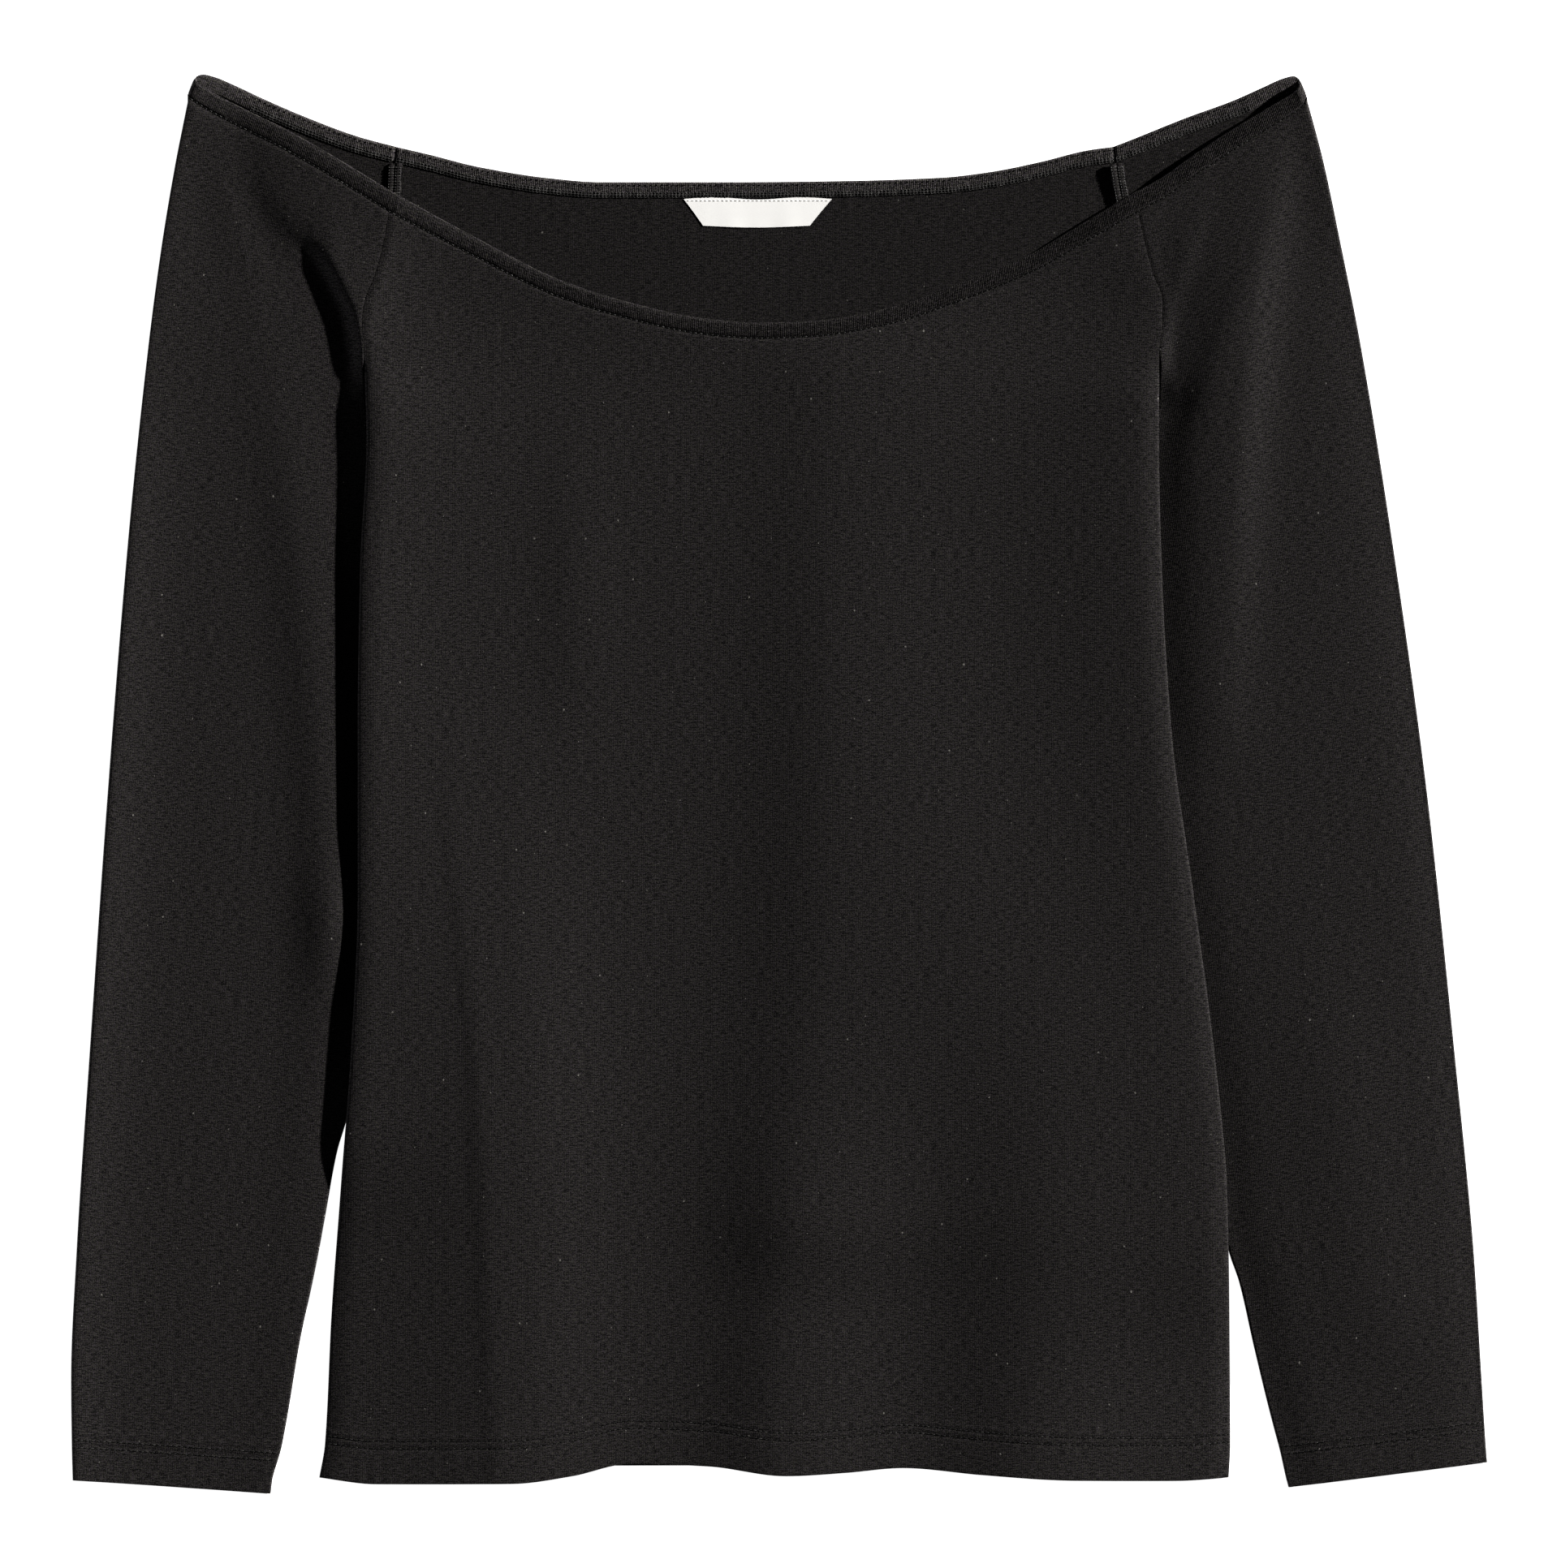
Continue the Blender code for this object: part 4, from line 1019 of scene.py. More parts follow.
def sleeve_layer(side, layer, y, fold, radius):
    """Grid and UV map of one layer of a sleeve, from its inner edge to its outer fold."""
    inner_x = sleeve_inner_edge(y, side, front_edge if layer == "front" else back_edge)
    inner = points_of(inner_x, y)
    lift, roof = (at_side(SLEEVE_ROLL, y, side, kind)[:, None] for kind in (LIFT, TOP))
    inner_arcs = np.broadcast_to(SLEEVE_INNER_ARCS, (len(y), len(SLEEVE_INNER_ARCS)))
    outer_arcs = np.broadcast_to(SLEEVE_OUTER_ARCS, (len(y), len(SLEEVE_OUTER_ARCS)))
    inner_inset, inner_drop = roll(inner_arcs, (roof - lift) / 2, smooth(ROLLED, y)[:, None])
    outer_inset, outer_drop = roll(outer_arcs, radius, 1.0)
    inner_inset, outer_inset = inner_inset * FOLD_STEEPNESS, outer_inset * FOLD_STEEPNESS
    width = np.linalg.norm(fold - inner, axis=1)[:, None]
    first, last = inner_inset / width, 1 - outer_inset[:, ::-1] / width
    between = columns_between(first, last, SLEEVE_COLUMNS[layer])
    share = np.concatenate([first, between, last], axis=1)
    top, _ = sleeve_band_base(side, layer, share[-1], SLEEVE_BAND_GAP)
    cuff = mix(inner[0], fold[0], share[0][:, None])
    plan = plan_rows(inner, fold, share, cuff, top)
    fall = np.concatenate([inner_drop, np.zeros_like(between), outer_drop[:, ::-1]], axis=1)
    from_inner, from_outer = share * width, (1 - share) * width
    near_neck = step((y - SLEEVE_NECK_FROM_Y) / (y[-1] - SLEEVE_NECK_FROM_Y))[:, None]
    from_cuff = (plan[..., 1] - cuff[None, :, 1]) * np.abs(fold[0, 0] - inner[0, 0]) / width[0]
    if layer == "front":
        height = sleeve_top(side, plan, near_neck, from_inner, from_outer, roof, radius) - fall
        sewn = turned_hem_relief(from_cuff) + seam_relief(top[None, :, 1] - plan[..., 1], NECK_DIP)
        height = height + sewn * (1 - bell(from_outer, RELIEF_CLEARS_FOLD))
        height = height + armhole_relief(from_inner, plan[..., 1])
    else:
        height = lift * (1 - step(from_inner / SLEEVE_LIFT_FALL)) + fall + twin_grooves(from_cuff)
    rolled = np.zeros_like(fall)
    rolled[:, -outer_drop.shape[1] :] = outer_drop[:, ::-1]
    from_fold = from_outer + ROLL_LET_OUT * (radius - rolled)
    cloth = points_of(OUTWARD[side] * from_fold, from_cuff)
    return points_of(plan[..., 0], plan[..., 1], height), cloth


def sleeve(side):
    """A whole sleeve: the front layer, round the outer fold, and the back layer."""
    inner_y, fold, radius = sleeve_frame(side)
    closed_rows = int(np.sum(inner_y["front"] < UNDERARM_Y + 0.01))
    front, front_map = sleeve_layer(side, "front", inner_y["front"], fold, radius)
    back, back_map = sleeve_layer(side, "back", inner_y["back"], fold, radius)
    back_map = back_map * np.array([-1.0, 1.0])
    points = np.concatenate([front, back[:, -2::-1]], axis=1)
    cloth_map = np.concatenate([front_map, back_map[:, -2::-1]], axis=1)
    return cloth_wall(side + "_sleeve", points, cloth_map, jersey, OUTWARD[side], closed_rows)


sleeves = {side: sleeve(side) for side in SIDES}

# %% [markdown]
# ## Neckbands
# The neckband is a fold of jersey over flat elastic, with the wales running across it as fine ribs.
# Its section is a flat oval, swept along the rim. The ribs follow a rule, so a Geometry Nodes tree
# raises them: it moves each point out along its normal by a cosine of the distance round the band.

# %% Swept band
BAND_STEP = 0.21
SECTION_POINTS = 9
OVAL_POWER = 4
# Shares: the ribs rise over the first of them from the band's base, and the rest is along a sleeve
RIBS_START = 0.2
BAND_THINS_FROM, BAND_THINS_OVER = 0.7, 0.25


def lengths_along(points):
    return np.concatenate([[0.0], np.cumsum(np.linalg.norm(np.diff(points, axis=0), axis=1))])


def swept_band(name, base, rim, heights, thickness, facing):
    """Flat oval section swept along a band. Points hold how far round they are and the rib's share."""
    depth = 0.5 - 0.5 * np.cos(np.linspace(0.0, np.pi, SECTION_POINTS))
    level = np.stack([base, (base + rim) / 2, rim])
    outer = points_of(level[..., 0], level[..., 1], heights)
    normal = outer_normals(outer, facing)[1]
    face = mix(outer[0], outer[2], depth[:, None, None])
    middle = face - normal * thickness[:, None] / 2
    oval = (1 - np.abs(2 * depth - 1) ** OVAL_POWER) ** (1 / OVAL_POWER)
    half = thickness[None, :, None] / 2 * oval[:, None, None]
    loop = np.concatenate([middle + normal * half, (middle - normal * half)[-2:0:-1]])
    around = lengths_along(outer[2])
    across = np.concatenate([depth, 2 - depth[-2:0:-1]]) * BAND_DEPTH["front centre"]
    rows, columns = loop.shape[:2]
    number = np.arange((rows + 1) * columns).reshape(rows + 1, columns)
    weld = number.copy()
    weld[-1] = number[0]
    faces = quads(number[:-1, :-1], number[:-1, 1:], number[1:, 1:], number[1:, :-1])
    if facing < 0:
        faces = faces[:, ::-1]
    points = np.concatenate([loop, loop[:1]]).reshape(-1, 3)
    across = np.append(across, 2 * BAND_DEPTH["front centre"])
    flat = points_of(around[None, :], across[:, None]).reshape(-1, 2)
    # Painted highlight: the band's inner side is made paler, standing in for the light that it catches.
    tone = np.where(np.arange(rows + 1) < SECTION_POINTS, 1.0, BAND_INSIDE_PAINTED_HIGHLIGHT)
    made = mesh_object(name, points, faces, weld.ravel(), flat, band_jersey, np.repeat(tone, columns))
    close_ends(made.data, rows, columns)
    ribbed = np.concatenate([step(depth / RIBS_START), step(depth[-2:0:-1] / RIBS_START)])
    store(made.data, "around", np.broadcast_to(around * MM, (rows, columns)).ravel())
    store(made.data, "ribbed", np.broadcast_to(ribbed[:, None], (rows, columns)).ravel())
    return made


def close_ends(mesh, rows, columns):
    """Close both open ends of a swept band with one face each."""
    outline = np.arange(rows) * columns
    edit = bmesh.new()
    edit.from_mesh(mesh)
    edit.verts.ensure_lookup_table()
    for ring in (outline, outline[::-1] + columns - 1):
        edit.faces.new([edit.verts[int(i)] for i in ring])
    bmesh.ops.recalc_face_normals(edit, faces=edit.faces)
    edit.to_mesh(mesh)
    edit.free()


# %% Ribs raised by Geometry Nodes
def geometry_tree(name, inputs):
    """An empty tree with one geometry in and out, and named inputs for its sizes."""
    tree = bpy.data.node_groups.new(name, "GeometryNodeTree")
    for direction in ("INPUT", "OUTPUT"):
        tree.interface.new_socket("Geometry", in_out=direction, socket_type="NodeSocketGeometry")
    for label, kind in inputs:
        tree.interface.new_socket(label, in_out="INPUT", socket_type="NodeSocket" + kind)
    return tree, add_node(tree, "NodeGroupInput").outputs, add_node(tree, "NodeGroupOutput").inputs[0]


def named(tree, name, kind="FLOAT"):
    made = add_node(tree, "GeometryNodeInputNamedAttribute", {"Name": name}, data_type=kind)
    return made.outputs["Attribute"]


def finish_tree(tree, geometry, material, output):
    """Every tree ends in plain geometry with its material set."""
    real = add_node(tree, "GeometryNodeRealizeInstances", {0: geometry})
    inputs = {"Geometry": real.outputs[0], "Material": material}
    tree.links.new(add_node(tree, "GeometryNodeSetMaterial", inputs).outputs[0], output)


def rib_tree():
    inputs = (("Rib pitch", "Float"), ("Rib height", "Float"), ("Cloth", "Material"))
    tree, given, output = geometry_tree("neckband ribs", inputs)
    turns = sum_node(tree, "DIVIDE", named(tree, "around"), given["Rib pitch"])
    wave = sum_node(tree, "COSINE", times(tree, turns, 2 * np.pi))
    rise = times(tree, times(tree, wave, 0.5), given["Rib height"])
    rise = times(tree, rise, named(tree, "ribbed"))
    normal = add_node(tree, "GeometryNodeInputNormal").outputs[0]
    outward = add_node(tree, "ShaderNodeVectorMath", {0: normal, "Scale": rise}, operation="SCALE")
    inputs = {"Geometry": given["Geometry"], "Offset": outward.outputs[0]}
    moved = add_node(tree, "GeometryNodeSetPosition", inputs)
    finish_tree(tree, moved.outputs[0], given["Cloth"], output)
    return tree


def apply_tree(made, tree, values):
    """Run a tree on an object with its sizes given by name, and keep the plain mesh that it makes."""
    modifier = made.modifiers.new(tree.name, "NODES")
    modifier.node_group = tree
    for socket in tree.interface.items_tree:
        if socket.in_out == "INPUT" and socket.name in values:
            modifier[socket.identifier] = values[socket.name]
    evaluated = made.evaluated_get(bpy.context.evaluated_depsgraph_get())
    mesh = bpy.data.meshes.new_from_object(evaluated)
    mesh.name = made.name
    made.modifiers.clear()
    made.data = mesh
    print(made.name, "has", len(mesh.polygons), "faces")
    return made


# %% Neckband over the body
RIB_SIZES = {"Rib pitch": WALE_PITCH, "Rib height": 0.14 * MM, "Cloth": band_jersey}
BAND_NIP, BAND_NIP_REACH = 0.3, 0.9
ribs = rib_tree()


def end_thinning(around):
    """The band is nipped in a little where it is sewn to the next one."""
    from_end = np.minimum(around, around[-1] - around)
    return 1 - BAND_NIP * bell(from_end, BAND_NIP_REACH)


def body_band(name, rim_table, base_of, heights_of, facing):
    length = lengths_along(along_table(rim_table, np.linspace(0.0, 1.0, 400)))[-1]
    share = np.linspace(0.0, 1.0, int(length / BAND_STEP))
    rim = along_table(rim_table, share)
    wall = BAND_WALL if facing > 0 else BACK_BAND_WALL
    thickness = wall * end_thinning(lengths_along(rim))
    made = swept_band(name, base_of(share), rim, heights_of(rim), thickness, facing)
    return apply_tree(made, ribs, RIB_SIZES)


front_band = body_band(
    "front_neckband", FRONT_RIM, front_band_base, lambda rim: front_top(rim[:, 0], rim[:, 1]), 1
)
back_band = body_band("back_neckband", BACK_RIM, back_band_base, lambda rim: np.zeros(len(rim)), -1)


# %% Neckbands over the sleeves
def sleeve_band_layer(side, layer):
    """Base, rim, height and share of a sleeve's band, from its outer fold to the armhole seam."""
    seam, fold = (
        sleeve_band_base(side, kind, np.array([at]), SLEEVE_BAND_GAP)[0][0]
        for kind, at in ((layer, 0.0), ("front", 1.0))
    )
    width = np.linalg.norm(fold - seam)
    radius = at_side(OUTER_RADIUS, fold[1], side)
    arcs = np.linspace(0.0, width + ROLL_LET_OUT * radius, int(width / BAND_STEP))
    inset, drop = roll(arcs, radius, 1.0)
    share = np.clip(1 - inset / width, 0.0, 1.0)
    base, rim = sleeve_band_base(side, layer, share)
    if layer == "back":
        return base, rim, drop, share
    plan = sleeve_band_base(side, layer, share, SLEEVE_BAND_GAP)[0]
    roof = at_side(SLEEVE_ROLL, seam[1], side, TOP)
    height = sleeve_top(side, plan, 1.0, share * width, (1 - share) * width, roof, radius) - drop
    return base, rim, height, share


def sleeve_band(side):
    front, back = (sleeve_band_layer(side, layer) for layer in ("front", "back"))
    base, rim, height, share = (np.concatenate([a[::-1], b[1:]]) for a, b in zip(front, back))
    wall = np.where(np.arange(len(share)) < len(front[3]), BAND_WALL, BACK_BAND_WALL)
    to_fold = step((share - BAND_THINS_FROM) / BAND_THINS_OVER)
    thickness = (wall + (FOLDED_BAND_WALL - wall) * to_fold) * end_thinning(lengths_along(rim))
    seam_step = np.array([OUTWARD[side] * SEAM_GAP, 0.0])
    name = side + "_sleeve_neckband"
    made = swept_band(name, base + seam_step, rim + seam_step, height, thickness, OUTWARD[side])
    return apply_tree(made, ribs, RIB_SIZES)


sleeve_bands = {side: sleeve_band(side) for side in SIDES}

# %% [markdown]
# ## Armhole allowances and label
# Inside the back neck the cut edges of both back armhole seams show. Each was trimmed and bound by
# an overlock machine, and lies as two narrow ridges side by side. The label is a plain strip of
# satin with its ends folded in at a slant, sewn in under the back neckband.

# %% Seam allowances
ALLOWANCE_WIDTH = 6.0
ALLOWANCE_FROM_Y, ALLOWANCE_RISES_FROM_Y = 218.0, 250.0
ALLOWANCE_RISE, ALLOWANCE_RISE_OVER = {RIGHT: 0.0, LEFT: 0.6}, 25.0
ALLOWANCE_THICKNESS = {RIGHT: 0.5, LEFT: 0.9}
ALLOWANCE_RIDGE = 0.3
ALLOWANCE_CLEAR = 0.2
ALLOWANCE_TOP_Y = BACK_ARMHOLE[-1][0] - BAND_DEPTH["sleeve back"]


def seam_allowance(side):
    y = np.linspace(ALLOWANCE_FROM_Y, ALLOWANCE_TOP_Y - ALLOWANCE_CLEAR, 60)[:, None]
    across = np.linspace(-0.5, 0.5, 25)
    wander = 0.25 * np.sin(y * 0.55 + COLUMN[side]) + 0.12 * np.sin(y * 1.7)
    x = at_side(BACK_ARMHOLE, y, side) + across * ALLOWANCE_WIDTH + wander * (np.abs(across) > 0.45)
    climb = np.clip((y - ALLOWANCE_RISES_FROM_Y) / ALLOWANCE_RISE_OVER, 0.0, 1.0)
    rise = ALLOWANCE_RISE[side] * climb**2 * (0.5 - across)
    ridges = ALLOWANCE_RIDGE * (np.abs(np.sin(2 * np.pi * across)) ** 0.6 - 1)
    height = WALL + ALLOWANCE_CLEAR + ALLOWANCE_THICKNESS[side] + rise + ridges
    points = points_of(x, y, height)
    name = side + "_armhole_allowance"
    return cloth_wall(name, points, points[..., :2], jersey, thickness=ALLOWANCE_THICKNESS[side])


allowances = {side: seam_allowance(side) for side in SIDES}

# %% Label
LABEL_TOP = ((-42.8, 260.0), (23.0, 260.0))
LABEL_BOTTOM = ((-34.2, 247.9), (13.2, 247.9))
LABEL_THICKNESS, LABEL_CLEAR = 0.16, 0.04
LABEL_WAVE_BASE, LABEL_WAVE_SIZE = 0.33, 0.2


def neck_label():
    """A strip whose upper edge is sewn flat and whose lower edge stands off a little and waves."""
    down = np.linspace(1.0, 0.0, 15)[:, None]
    share = np.linspace(0.0, 1.0, 67)[None, :]
    corners = (np.array(corner)[:, None, None] for corner in (*LABEL_BOTTOM, *LABEL_TOP))
    low_left, low_right, top_left, top_right = corners
    x, y = mix(mix(top_left, top_right, share), mix(low_left, low_right, share), down)
    y = y + 0.5 * np.sin(x * 0.16) * (1 - down) - 0.8 * np.sin(np.pi * share) * down
    wave = 0.22 * np.sin(x * 0.23 + 0.6) + 0.10 * np.sin(x * 0.51)
    height = WALL + LABEL_CLEAR + LABEL_THICKNESS + (LABEL_WAVE_BASE + wave) * LABEL_WAVE_SIZE * down
    points = points_of(x, y, height)
    return cloth_wall("label", points, points[..., :2], satin, thickness=LABEL_THICKNESS)


label = neck_label()

# %% [markdown]
# ## Stitches
# Sewing is what tells a garment from a cut-out. The neckband has a row of topstitches in its
# groove, and the hem and cuffs have twin needle rows. The inside of the back band shows a
# coverstitch. The needle holes are painted shade: near-black beads between the stitches and along
# the back band's top. Each row is one path laid on the finished cloth. A Geometry Nodes tree then
# sets the same small shape along it, at the real stitch length, turned to the path and to the cloth
# below it.

# %% Stitch tree
STITCH_INPUTS = (
    ("Stitch pitch", "Float"),
    ("Stitch length", "Float"),
    ("Thread width", "Float"),
    ("Thread height", "Float"),
    ("Shift along", "Float"),
    ("Slant", "Float"),
    ("Unevenness", "Float"),
    ("Seed", "Int"),
    ("Thread", "Material"),
)


def bead(tree, given):
    """One float of thread: a small long bead of 32 faces."""
    ball = add_node(tree, "GeometryNodeMeshUVSphere", {"Segments": 8, "Rings": 4, "Radius": 0.5})
    labels = ("Stitch length", "Thread width", "Thread height")
    size = add_node(tree, "ShaderNodeCombineXYZ", {i: given[label] for i, label in enumerate(labels)})
    return ball.outputs["Mesh"], size.outputs[0]


def loop(tree, given):
    """One loop of thread: a ring as long and wide as the stitch, open in its middle."""
    ring = add_node(tree, "GeometryNodeCurvePrimitiveCircle", {"Resolution": 10, "Radius": 0.5})
    inputs = {0: given["Stitch length"], 1: given["Thread height"], 2: 1.0}
    size = add_node(tree, "ShaderNodeCombineXYZ", inputs)
    inputs = {"Geometry": ring.outputs["Curve"], "Scale": size.outputs[0]}
    shape = add_node(tree, "GeometryNodeTransform", inputs)
    inputs = {"Resolution": 5, "Radius": times(tree, given["Thread width"], 0.5)}
    section = add_node(tree, "GeometryNodeCurvePrimitiveCircle", inputs)
    inputs = {"Curve": shape.outputs[0], "Profile Curve": section.outputs["Curve"]}
    return add_node(tree, "GeometryNodeCurveToMesh", inputs).outputs["Mesh"], (1.0, 1.0, 1.0)


# %% Stitch tree, from the path to the thread
def turned_to_path(tree, given):
    """Rotation of each stitch: along the path, up from the cloth, then slanted and a bit uneven."""
    tangent = add_node(tree, "GeometryNodeInputTangent").outputs[0]
    along = add_node(tree, "FunctionNodeAlignRotationToVector", {"Vector": tangent}, axis="X")
    inputs = {"Rotation": along.outputs[0], "Vector": named(tree, "up", "FLOAT_VECTOR")}
    upright = add_node(tree, "FunctionNodeAlignRotationToVector", inputs, axis="Z", pivot_axis="X")
    uneven = add_node(tree, "FunctionNodeRandomValue", {"Seed": given["Seed"]}, data_type="FLOAT")
    low, high = [i for i, socket in enumerate(uneven.inputs) if socket.type == "VALUE"][:2]
    connect(tree, uneven, {low: times(tree, given["Unevenness"], -1.0), high: given["Unevenness"]})
    value = next(socket for socket in uneven.outputs if socket.type == "VALUE")
    turn = add_node(tree, "ShaderNodeCombineXYZ", {2: sum_node(tree, "ADD", given["Slant"], value)})
    inputs = {0: upright.outputs[0], 1: turn.outputs[0]}
    return add_node(tree, "FunctionNodeRotateRotation", inputs, rotation_space="LOCAL").outputs[0]


def stitch_tree(name, shape):
    tree, given, output = geometry_tree(name, STITCH_INPUTS)
    path = add_node(tree, "GeometryNodeMeshToCurve", {0: given["Geometry"]})
    inputs = {"Curve": path.outputs[0], "Length": given["Stitch pitch"]}
    points = add_node(tree, "GeometryNodeResampleCurve", inputs, mode="LENGTH")
    mesh, scale = shape(tree, given)
    shift = add_node(tree, "ShaderNodeCombineXYZ", {0: given["Shift along"]})
    inputs = {"Geometry": mesh, "Scale": scale, "Translation": shift.outputs[0]}
    sized = add_node(tree, "GeometryNodeTransform", inputs)
    inputs = {"Points": points.outputs[0], "Instance": sized.outputs[0]}
    inputs["Rotation"] = turned_to_path(tree, given)
    placed = add_node(tree, "GeometryNodeInstanceOnPoints", inputs)
    real = add_node(tree, "GeometryNodeRealizeInstances", {0: placed.outputs[0]})
    smoothed = add_node(tree, "GeometryNodeSetShadeSmooth", {"Geometry": real.outputs[0]})
    finish_tree(tree, smoothed.outputs[0], given["Thread"], output)
    return tree


bead_tree = stitch_tree("beads of thread along a path", bead)
loop_tree = stitch_tree("loops of thread along a path", loop)
print("made", bead_tree.name, "and", loop_tree.name)


# %% Paths laid on the cloth
def surface_of(*pieces):
    """Search trees of finished pieces, in metres."""
    depsgraph = bpy.context.evaluated_depsgraph_get()
    return [BVHTree.FromObject(piece, depsgraph) for piece in pieces]


RAY_START = 0.1


def laid_on(trees, line, side_up):
    """Points and normals where a line in plan meets the cloth, from above or from below."""
    start, down = side_up * RAY_START, Vector((0, 0, -side_up))
    found = []
    for x, y in np.asarray(line) * MM:
        hits = (tree.ray_cast(Vector((x, y, start)), down) for tree in trees)
        hits = [hit for hit in hits if hit[0] is not None]
        if hits:
            place, normal, _, _ = min(hits, key=lambda hit: hit[3])
            found.append((place, normal))
    return found


def path_object(name, lines, lift):
    """Mesh of open paths with the cloth's normal at each point, raised a little along it."""
    points, edges, ups = [], [], []
    for line in lines:
        first = len(points)
        points += [place + normal * lift for place, normal in line]
        ups += [tuple(normal) for _, normal in line]
        edges += [(i, i + 1) for i in range(first, len(points) - 1)]
    mesh = bpy.data.meshes.new(name)
    mesh.from_pydata(points, edges, [])
    attribute = mesh.attributes.new("up", "FLOAT_VECTOR", "POINT")
    attribute.data.foreach_set("vector", np.array(ups, float).ravel())
    made = bpy.data.objects.new(name, mesh)
    bpy.context.scene.collection.objects.link(made)
    return made


def stitches(name, lines, tree, thread, pitch, length, width, height, lift, **more):
    """Rows of stitches. Sizes are in millimetres, and slant and unevenness in radians."""
    labels = ("Stitch pitch", "Stitch length", "Thread width", "Thread height", "Shift along")
    sizes = (pitch, length, width, height, more.get("shift", 0.0))
    values = {label: float(size) * MM for label, size in zip(labels, sizes)}
    values["Slant"] = float(more.get("slant", 0.0))
    values["Unevenness"] = float(more.get("uneven", 0.05))
    values["Seed"] = int(more.get("seed", 1))
    values["Thread"] = thread
    return apply_tree(path_object(name, lines, lift * MM), tree, values)


# %% Twin needle rows of the hem and cuffs
TWIN_PITCH = 2.4
TWIN = {"pitch": TWIN_PITCH, "length": 1.75, "width": 0.34, "height": 0.30, "lift": 0.02}
# The needle holes are painted shade: small near-black beads between the stitches.
HOLE = {"pitch": TWIN_PITCH, "length": 0.7, "width": 0.5, "height": 0.26, "lift": 0.06}
HOLE["shift"] = TWIN_PITCH / 2


def hem_line(row, bottom_of, inset=1.6):
    share = np.linspace(0.0, 1.0, 260)
    line = bottom_of(share) + np.array([0.0, row])
    left, right = (front_edge(line[:, 1], side) for side in (LEFT, RIGHT))
    return line[(line[:, 0] > right + inset) & (line[:, 0] < left - inset)]


def cuff_line(side, row, inset=1.2):
    """Line in plan at a distance up from a cuff's edge, from its inner to its outer fold."""
    inner_y, fold, _ = sleeve_frame(side)
    y = inner_y["front"][0]
    inner = np.array([sleeve_inner_edge(y, side), y])
    along = unit(fold[0] - inner)
    up = np.array([-along[1], along[0]]) * OUTWARD[side]
    inner_row, outer_row = inner + up * row, fold[0] + up * row
    outer_row[0] = at_side(SLEEVE_OUTER, outer_row[1], side)
    inner_row[0] = sleeve_inner_edge(inner_row[1], side)
    share = np.linspace(0.0, 1.0, 90)[:, None]
    line = mix(inner_row, outer_row, share)
    keep = np.abs(line[:, 0] - inner_row[0]) > inset
    return line[keep & (np.abs(line[:, 0] - outer_row[0]) > inset)]


body_cloth = surface_of(front_panel, back_panel)
hem_rows = [laid_on(body_cloth, hem_line(row, hem_points), 1) for row in TWIN_ROWS]
hem_rows += [laid_on(body_cloth, hem_line(row, back_hem_points), -1) for row in TWIN_ROWS]
hem_stitches = stitches("hem_stitches", hem_rows, bead_tree, thread, uneven=0.10, seed=3, **TWIN)
hem_hole_shades = stitches("hem_painted_hole_shades", hem_rows, bead_tree, painted_hole_shade, **HOLE)
cuff_stitches, cuff_hole_shades = {}, {}
for side in SIDES:
    cloth = surface_of(sleeves[side])
    rows = [laid_on(cloth, cuff_line(side, row - 1), up) for row in TWIN_ROWS for up in (1, -1)]
    cuff_stitches[side] = stitches(
        side + "_cuff_stitches", rows, bead_tree, thread, uneven=0.10, seed=5, **TWIN
    )
    cuff_hole_shades[side] = stitches(side + "_cuff_painted_hole_shades", rows, bead_tree, painted_hole_shade, **HOLE)

# %% [markdown]
# ## Stitches round the neck
# The topstitch lies in the groove under the band and pulls the band's lower edge into small
# scallops. Inside the back the same seam shows as looped threads in two lines.

# %% Neck topstitch
NECK_PITCH = 2.45
NECK_ROW_BELOW = 0.1
NECK_BEAD = {"pitch": NECK_PITCH, "length": 1.5, "width": 0.5, "height": 0.4, "lift": 0.03}
# Painted shade of the needle holes between the topstitches: near-black beads.
NECK_HOLE = {"pitch": NECK_PITCH, "length": 1.1, "width": 0.7, "height": 0.45, "lift": 0.0}
NECK_HOLE["shift"] = NECK_PITCH / 2


def groove_line(side, layer):
    """Line of the seam under the neckband over a sleeve, from the armhole seam to the fold."""
    share = np.linspace(0.0, 0.97, 140)
    return sleeve_band_base(side, layer, share, SLEEVE_BAND_GAP * 0.4)[0]


even = np.linspace(0.0, 1.0, 420)
bands = (front_band, back_band, *sleeve_bands.values())
neck_cloth = surface_of(front_panel, back_panel, *sleeves.values(), *bands)
neck_rows = [laid_on(neck_cloth, front_band_base(even, NECK_ROW_BELOW), 1)]
neck_rows += [laid_on(neck_cloth, back_band_base(even, NECK_ROW_BELOW), -1)]
neck_rows += [laid_on(neck_cloth, groove_line(side, "front"), 1) for side in SIDES]
neck_rows += [laid_on(neck_cloth, groove_line(side, "back"), -1) for side in SIDES]
neck_stitches = stitches(
    "neck_topstitch", neck_rows, bead_tree, thread, uneven=0.08, seed=7, **NECK_BEAD
)
neck_hole_shades = stitches("neck_painted_hole_shades", neck_rows, bead_tree, painted_hole_shade, **NECK_HOLE)

# %% Coverstitch inside the back band
COVER_LOOPS = {"pitch": 1.55, "length": 1.75, "width": 0.28, "height": 1.0, "lift": 0.05}
# The top holes are painted shade too: near-black beads along the back band's top.
TOP_HOLES = {"pitch": 2.4, "length": 0.9, "width": 0.6, "height": 0.3, "lift": 0.08}
INSIDE_BELOW = 2.4 * MM
# Shares of the band's depth at which the rows lie
COVER_LINES, TOP_HOLE_LINE = (0.12, 0.27), 0.80


def band_line(depth):
    """Line along the back band's face at a share of its depth above the base."""
    return mix(back_band_base(even), along_table(BACK_RIM, even), depth)[2:-2]


def sleeve_band_line(side, depth):
    """The same line along the back part of a sleeve's band."""
    base, rim = sleeve_band_base(side, "back", np.linspace(0.02, 0.72, 160))
    return mix(base, rim, depth)


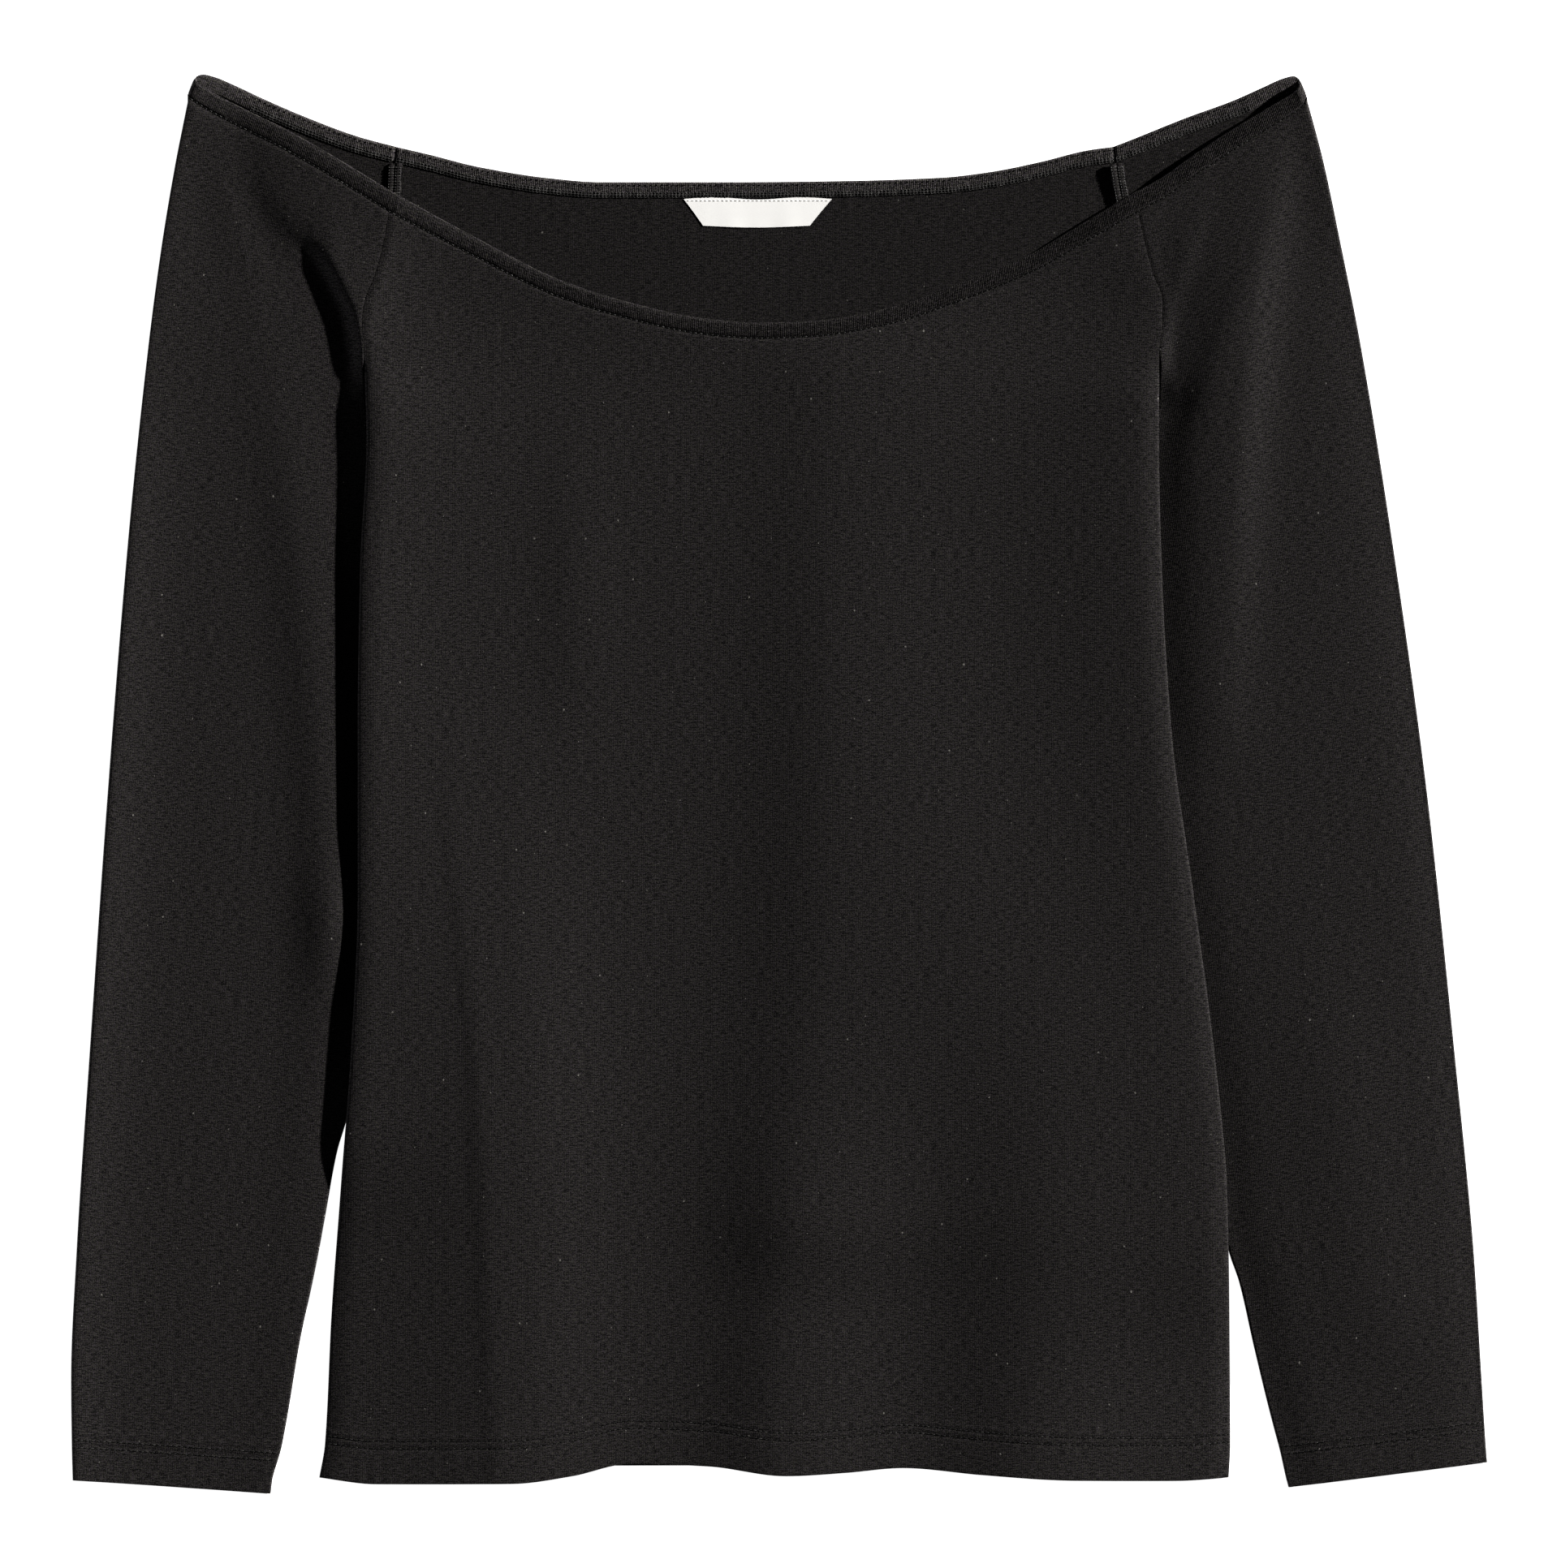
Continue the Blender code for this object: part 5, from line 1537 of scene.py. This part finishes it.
def seen_inside(depth):
    """Lines along the three bands inside the back, where the front does not cover them."""
    lines = [band_line(depth)] + [sleeve_band_line(side, depth) for side in SIDES]
    found = [laid_on(inside_cloth, line, 1) for line in lines]
    return [[hit for hit in line if hit[0].z < INSIDE_BELOW] for line in found]


inside_cloth = surface_of(back_band, back_panel, *sleeve_bands.values(), *sleeves.values(), front_band)
cover_rows = [row for depth in COVER_LINES for row in seen_inside(depth)]
cover_stitches = stitches(
    "back_coverstitch",
    cover_rows,
    loop_tree,
    looper_thread,
    slant=0.5,
    uneven=0.12,
    seed=11,
    **COVER_LOOPS,
)
top_rows = seen_inside(TOP_HOLE_LINE)
top_hole_shades = stitches("back_band_top_hole_shades", top_rows, bead_tree, painted_hole_shade, seed=13, **TOP_HOLES)

# %% Overlock loops
OVERLOCK = {"pitch": 1.25, "length": 0.42, "width": 2.5, "height": 0.34, "lift": 0.04}
CHAIN = {"pitch": 1.25, "length": 1.1, "width": 0.36, "height": 0.34, "lift": 0.06}


def allowance_line(side, share):
    """Line along a seam allowance, at a share of its width from its middle."""
    y = np.linspace(ALLOWANCE_FROM_Y + 1.5, ALLOWANCE_TOP_Y - 2, 90)
    return points_of(at_side(BACK_ARMHOLE, y, side) + share * ALLOWANCE_WIDTH, y)


overlock = {}
for side in SIDES:
    cloth = surface_of(allowances[side])
    bars = [laid_on(cloth, allowance_line(side, share), 1) for share in (-0.25, 0.25)]
    chains = [laid_on(cloth, allowance_line(side, share), 1) for share in (-0.42, 0.08, 0.42)]
    name = side + "_overlock"
    overlock[side] = [
        stitches(name + "_bars", bars, bead_tree, looper_thread, slant=0.25, seed=17, **OVERLOCK),
        stitches(name + "_chains", chains, bead_tree, looper_thread, seed=19, **CHAIN),
    ]

# %% Label stitches
LABEL_BEAD = {"pitch": 1.9, "length": 1.3, "width": 0.32, "height": 0.26, "lift": 0.04}
label_row = points_of(np.linspace(-40.6, 20.8, 80), 259.0)
label_rows = [laid_on(surface_of(label), label_row, 1)]
label_stitches = stitches("label_stitches", label_rows, bead_tree, white_thread, seed=23, **LABEL_BEAD)

# %% [markdown]
# ## What each piece stands for
# Each visual piece rides on the imported body and hides the CAD node that it stands for.

# %% Pieces, nodes and slots
STANDS_FOR = (
    (front_panel, "front", "jersey"),
    (back_panel, "back", "jersey"),
    (sleeves[RIGHT], "sleeve_right", "jersey"),
    (sleeves[LEFT], "sleeve_left", "jersey"),
    (front_band, "neckband_front", "neckband_jersey"),
    (back_band, "neckband_back", "neckband_jersey"),
    (sleeve_bands[RIGHT], "neckband_right_sleeve", "neckband_jersey"),
    (sleeve_bands[LEFT], "neckband_left_sleeve", "neckband_jersey"),
    (allowances[RIGHT], "seam_allowance_right", "overlock_thread"),
    (allowances[LEFT], "seam_allowance_left", "overlock_thread"),
    (label, "neck_label", "label_satin"),
)
for piece, cad_node, slot in STANDS_FOR:
    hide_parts(cad_node)
    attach(piece, "root")
SEWING = [hem_stitches, hem_hole_shades, neck_stitches, neck_hole_shades, cover_stitches, top_hole_shades]
SEWING += [*cuff_stitches.values(), *cuff_hole_shades.values(), *overlock[RIGHT], *overlock[LEFT]]
for piece in SEWING:
    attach(piece, "root")
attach(label_stitches, "root")
print(len(STANDS_FOR), "cloth pieces and", len(SEWING) + 1, "pieces of sewing")

# %% [markdown]
# ## Floor, camera and light
# The photograph is a cut-out on white, taken from straight above. One crisp low light comes from
# the upper right, a weak one rims the left edges, and there is little soft light. The floor is a
# pale light table, so it stays near white.

# %% Floor
def floor_finish():
    material, tree, shader = start_material("pale_floor")
    look = {
        "Base Color": (0.9, 0.9, 0.9, 1.0),
        "Roughness": 0.9,
        "Specular IOR Level": 0.1,
        "Emission Color": (1.0, 1.0, 1.0, 1.0),
        "Emission Strength": 1.0,
    }
    connect(tree, shader, look)
    return material


bpy.ops.mesh.primitive_plane_add(size=8.0, location=(0.0, 0.0, -0.0002))
floor = bpy.context.object
floor.name = "floor"
floor.data.materials.append(floor_finish())

# %% Camera
MM_PER_PIXEL = 0.36
IMAGE_HEIGHT = 1932
LENS, SENSOR = 150.0, 36.0
SHARP_PLANE = 4.0
frame_height = IMAGE_HEIGHT * MM_PER_PIXEL
distance = frame_height * LENS / SENSOR
lens = bpy.data.cameras.new("camera")
lens.lens = LENS
lens.sensor_fit = "VERTICAL"
lens.sensor_height = SENSOR
lens.clip_end = 50.0
camera = bpy.data.objects.new("camera", lens)
camera.location = (0.18 * MM, 0.0, (SHARP_PLANE + distance) * MM)
bpy.context.scene.collection.objects.link(camera)
bpy.context.scene.camera = camera
print("camera height in metres:", round(camera.location.z, 3))

# %% Lights
def sun(name, strength, colour, elevation, azimuth, angle):
    """A distant light. Azimuth is counted from +X towards +Y, and all the angles are in degrees."""
    light = bpy.data.lights.new(name, "SUN")
    light.energy = strength
    light.color = colour
    light.angle = np.radians(angle)
    lamp = bpy.data.objects.new(name, light)
    lamp.rotation_euler = (0.0, np.radians(90.0 - elevation), np.radians(azimuth))
    bpy.context.scene.collection.objects.link(lamp)


sun("key", 16.8, (1.0, 0.985, 0.965), 11.6, 27.0, 1.2)
sun("edge", 2.2, (0.95, 0.97, 1.0), 2.5, 190.0, 4.0)
world = bpy.data.worlds.new("soft studio")
world.use_nodes = True
sky = {"Color": (0.93, 0.95, 1.0, 1.0), "Strength": 0.02}
connect(world.node_tree, world.node_tree.nodes["Background"], sky)
bpy.context.scene.world = world
bpy.context.scene.view_settings.view_transform = "Standard"
